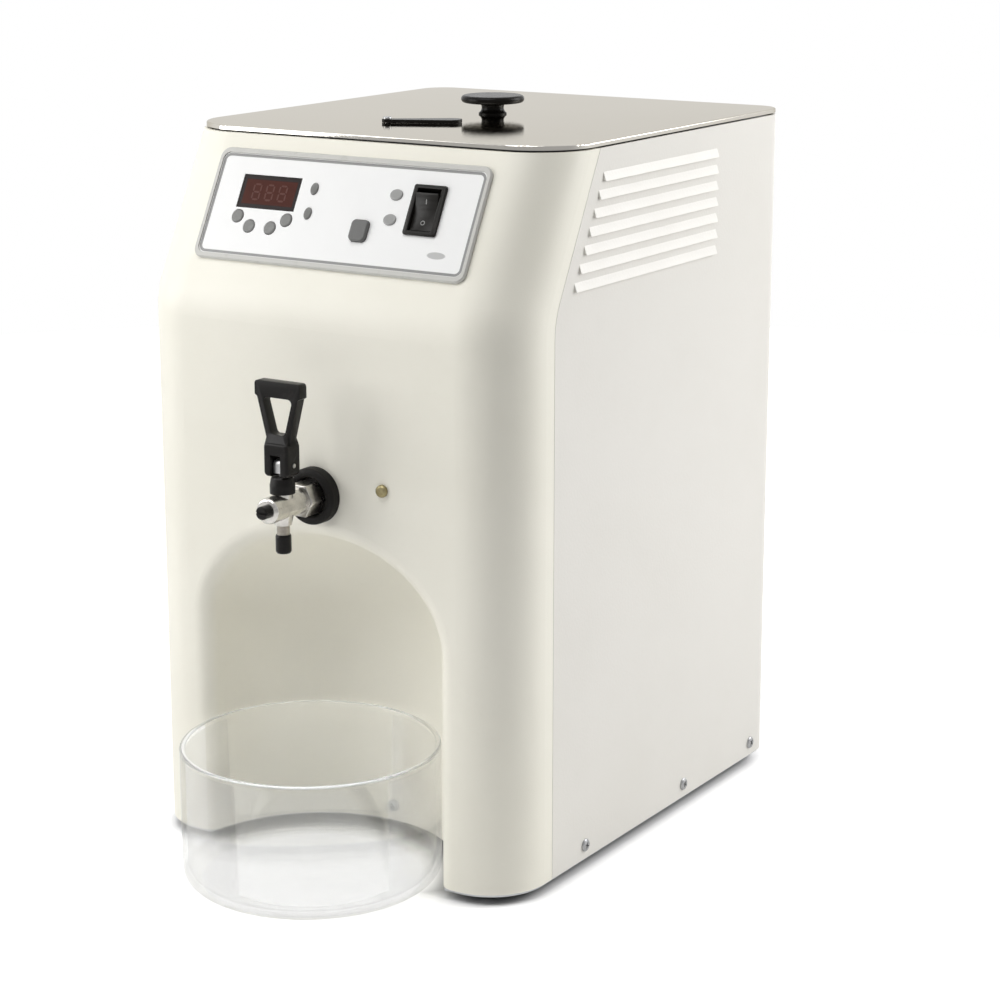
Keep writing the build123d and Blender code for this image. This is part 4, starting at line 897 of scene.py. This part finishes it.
def makeFloor(look):
    # the paper fades to white far out; right under and just round the housing it has painted
    # shade, a darker colour and no glow, standing for the contact shadow
    shape = bmesh.new()
    bmesh.ops.create_circle(shape, cap_ends=True, radius=look["size"], segments=96)
    floor = meshPiece("floor", shape)
    material, shader, place = newFinish("floorPaper")
    across, back = place.along((1, 0, 0)), place.along((0, 1, 0))
    bayBack, bayRadius = look["bay"]
    hollow = bayRadius - across.reach(back - bayBack)
    beside = across.beyond(back - look["middle"], look["half"], look["corner"]).over(hollow)
    # no glow near the housing, which paints shade there as well
    lift = beside.step(*look["liftFade"]) * look["lift"] + \
        across.reach(back).step(*look["farFade"]) * look["farLift"]
    setShader(shader, place, Roughness=look["rough"], Emission_Strength=1.0,
              Base_Color=beside.step(*look["contactShadeFade"]).blend(look["under"], look["floor"]),
              Emission_Color=(seenRay(place) * lift).blend(colour(0, 0, 0), colour(1, 1, 1)),
              Normal=place.bump(place.noise(*look["paper"]), look["paperDepth"]))
    floor.data.materials.append(material)


# mirrors see a white wall behind the object and a dimmer room in front of it
room = {"air": colour(0.39, 0.39, 0.3978), "shade": colour(0.06, 0.06, 0.062),
        "shady": (0.74, -0.67, 0.0), "shadyFade": (-0.3, 0.85),
        "dim": colour(0.5, 0.5, 0.51), "wall": colour(1, 1, 1),
        "behind": (-0.53, 0.85, 0.0), "behindFade": (-0.6, 0.3), "seen": colour(1, 1, 1)}


def makeWorld(look):
    world = bpy.data.worlds.new("studio")
    bpy.context.scene.world = world
    world.use_nodes = True
    start = Wire(world.node_tree)
    aim = start.make("ShaderNodeTexCoord", out="Generated")
    mirrored = aim.along(look["behind"]).step(*look["behindFade"]).blend(look["dim"], look["wall"])
    air = aim.along(look["shady"]).step(*look["shadyFade"]).blend(look["air"], look["shade"])
    light = lightRay(start, "Is Glossy Ray").blend(air, mirrored)
    start.plug(world.node_tree.nodes["Background"].inputs["Color"],
               seenRay(start).blend(light, look["seen"]))


# degrees, metres and watts; azimuth from straight in front, positive to the right
lampTarget = (0.0, -0.03, 0.19)
lamps = {
    "keyLeft": {"azimuth": -50, "elevation": 22, "distance": 1.0, "size": 0.6, "power": 4.3},
    "sideRight": {"azimuth": 135, "elevation": 26, "distance": 1.7, "size": 1.0, "power": 19.5},
    "topFront": {"azimuth": -5, "elevation": 67, "distance": 1.6, "size": 1.0, "power": 11.2},
}
camera = {"azimuth": 32.2, "elevation": 14.2, "distance": 1.5086,
          "target": (0.0196, 0.0397, 0.1803), "lens": 93.6, "sensor": 36.0}


def aimed(name, data, look, target):
    # a lamp or camera placed round a target and turned to it
    turn, lift = math.radians(look["azimuth"]), math.radians(look["elevation"])
    away = Vector((math.sin(turn) * math.cos(lift), -math.cos(turn) * math.cos(lift),
                   math.sin(lift)))
    thing = bpy.data.objects.new(name, data)
    thing.location = Vector(target) + away * look["distance"]
    thing.rotation_euler = (-away).to_track_quat("-Z", "Y").to_euler()
    bpy.context.scene.collection.objects.link(thing)
    return thing


def makeLamps(rows, target):
    for name, look in rows.items():
        light = bpy.data.lights.new(name, "AREA")
        light.size = look["size"]
        light.energy = look["power"]
        aimed(name, light, look, target)


def makeCamera(look):
    lens = bpy.data.cameras.new("photoView")
    lens.lens = look["lens"]
    lens.sensor_width = look["sensor"]
    lens.sensor_fit = "HORIZONTAL"
    bpy.context.scene.camera = aimed("photoView", lens, look, look["target"])


makeFloor(stage)
makeWorld(room)
makeLamps(lamps, lampTarget)
makeCamera(camera)
bpy.context.scene.view_settings.view_transform = "Standard"
print("stage ready")
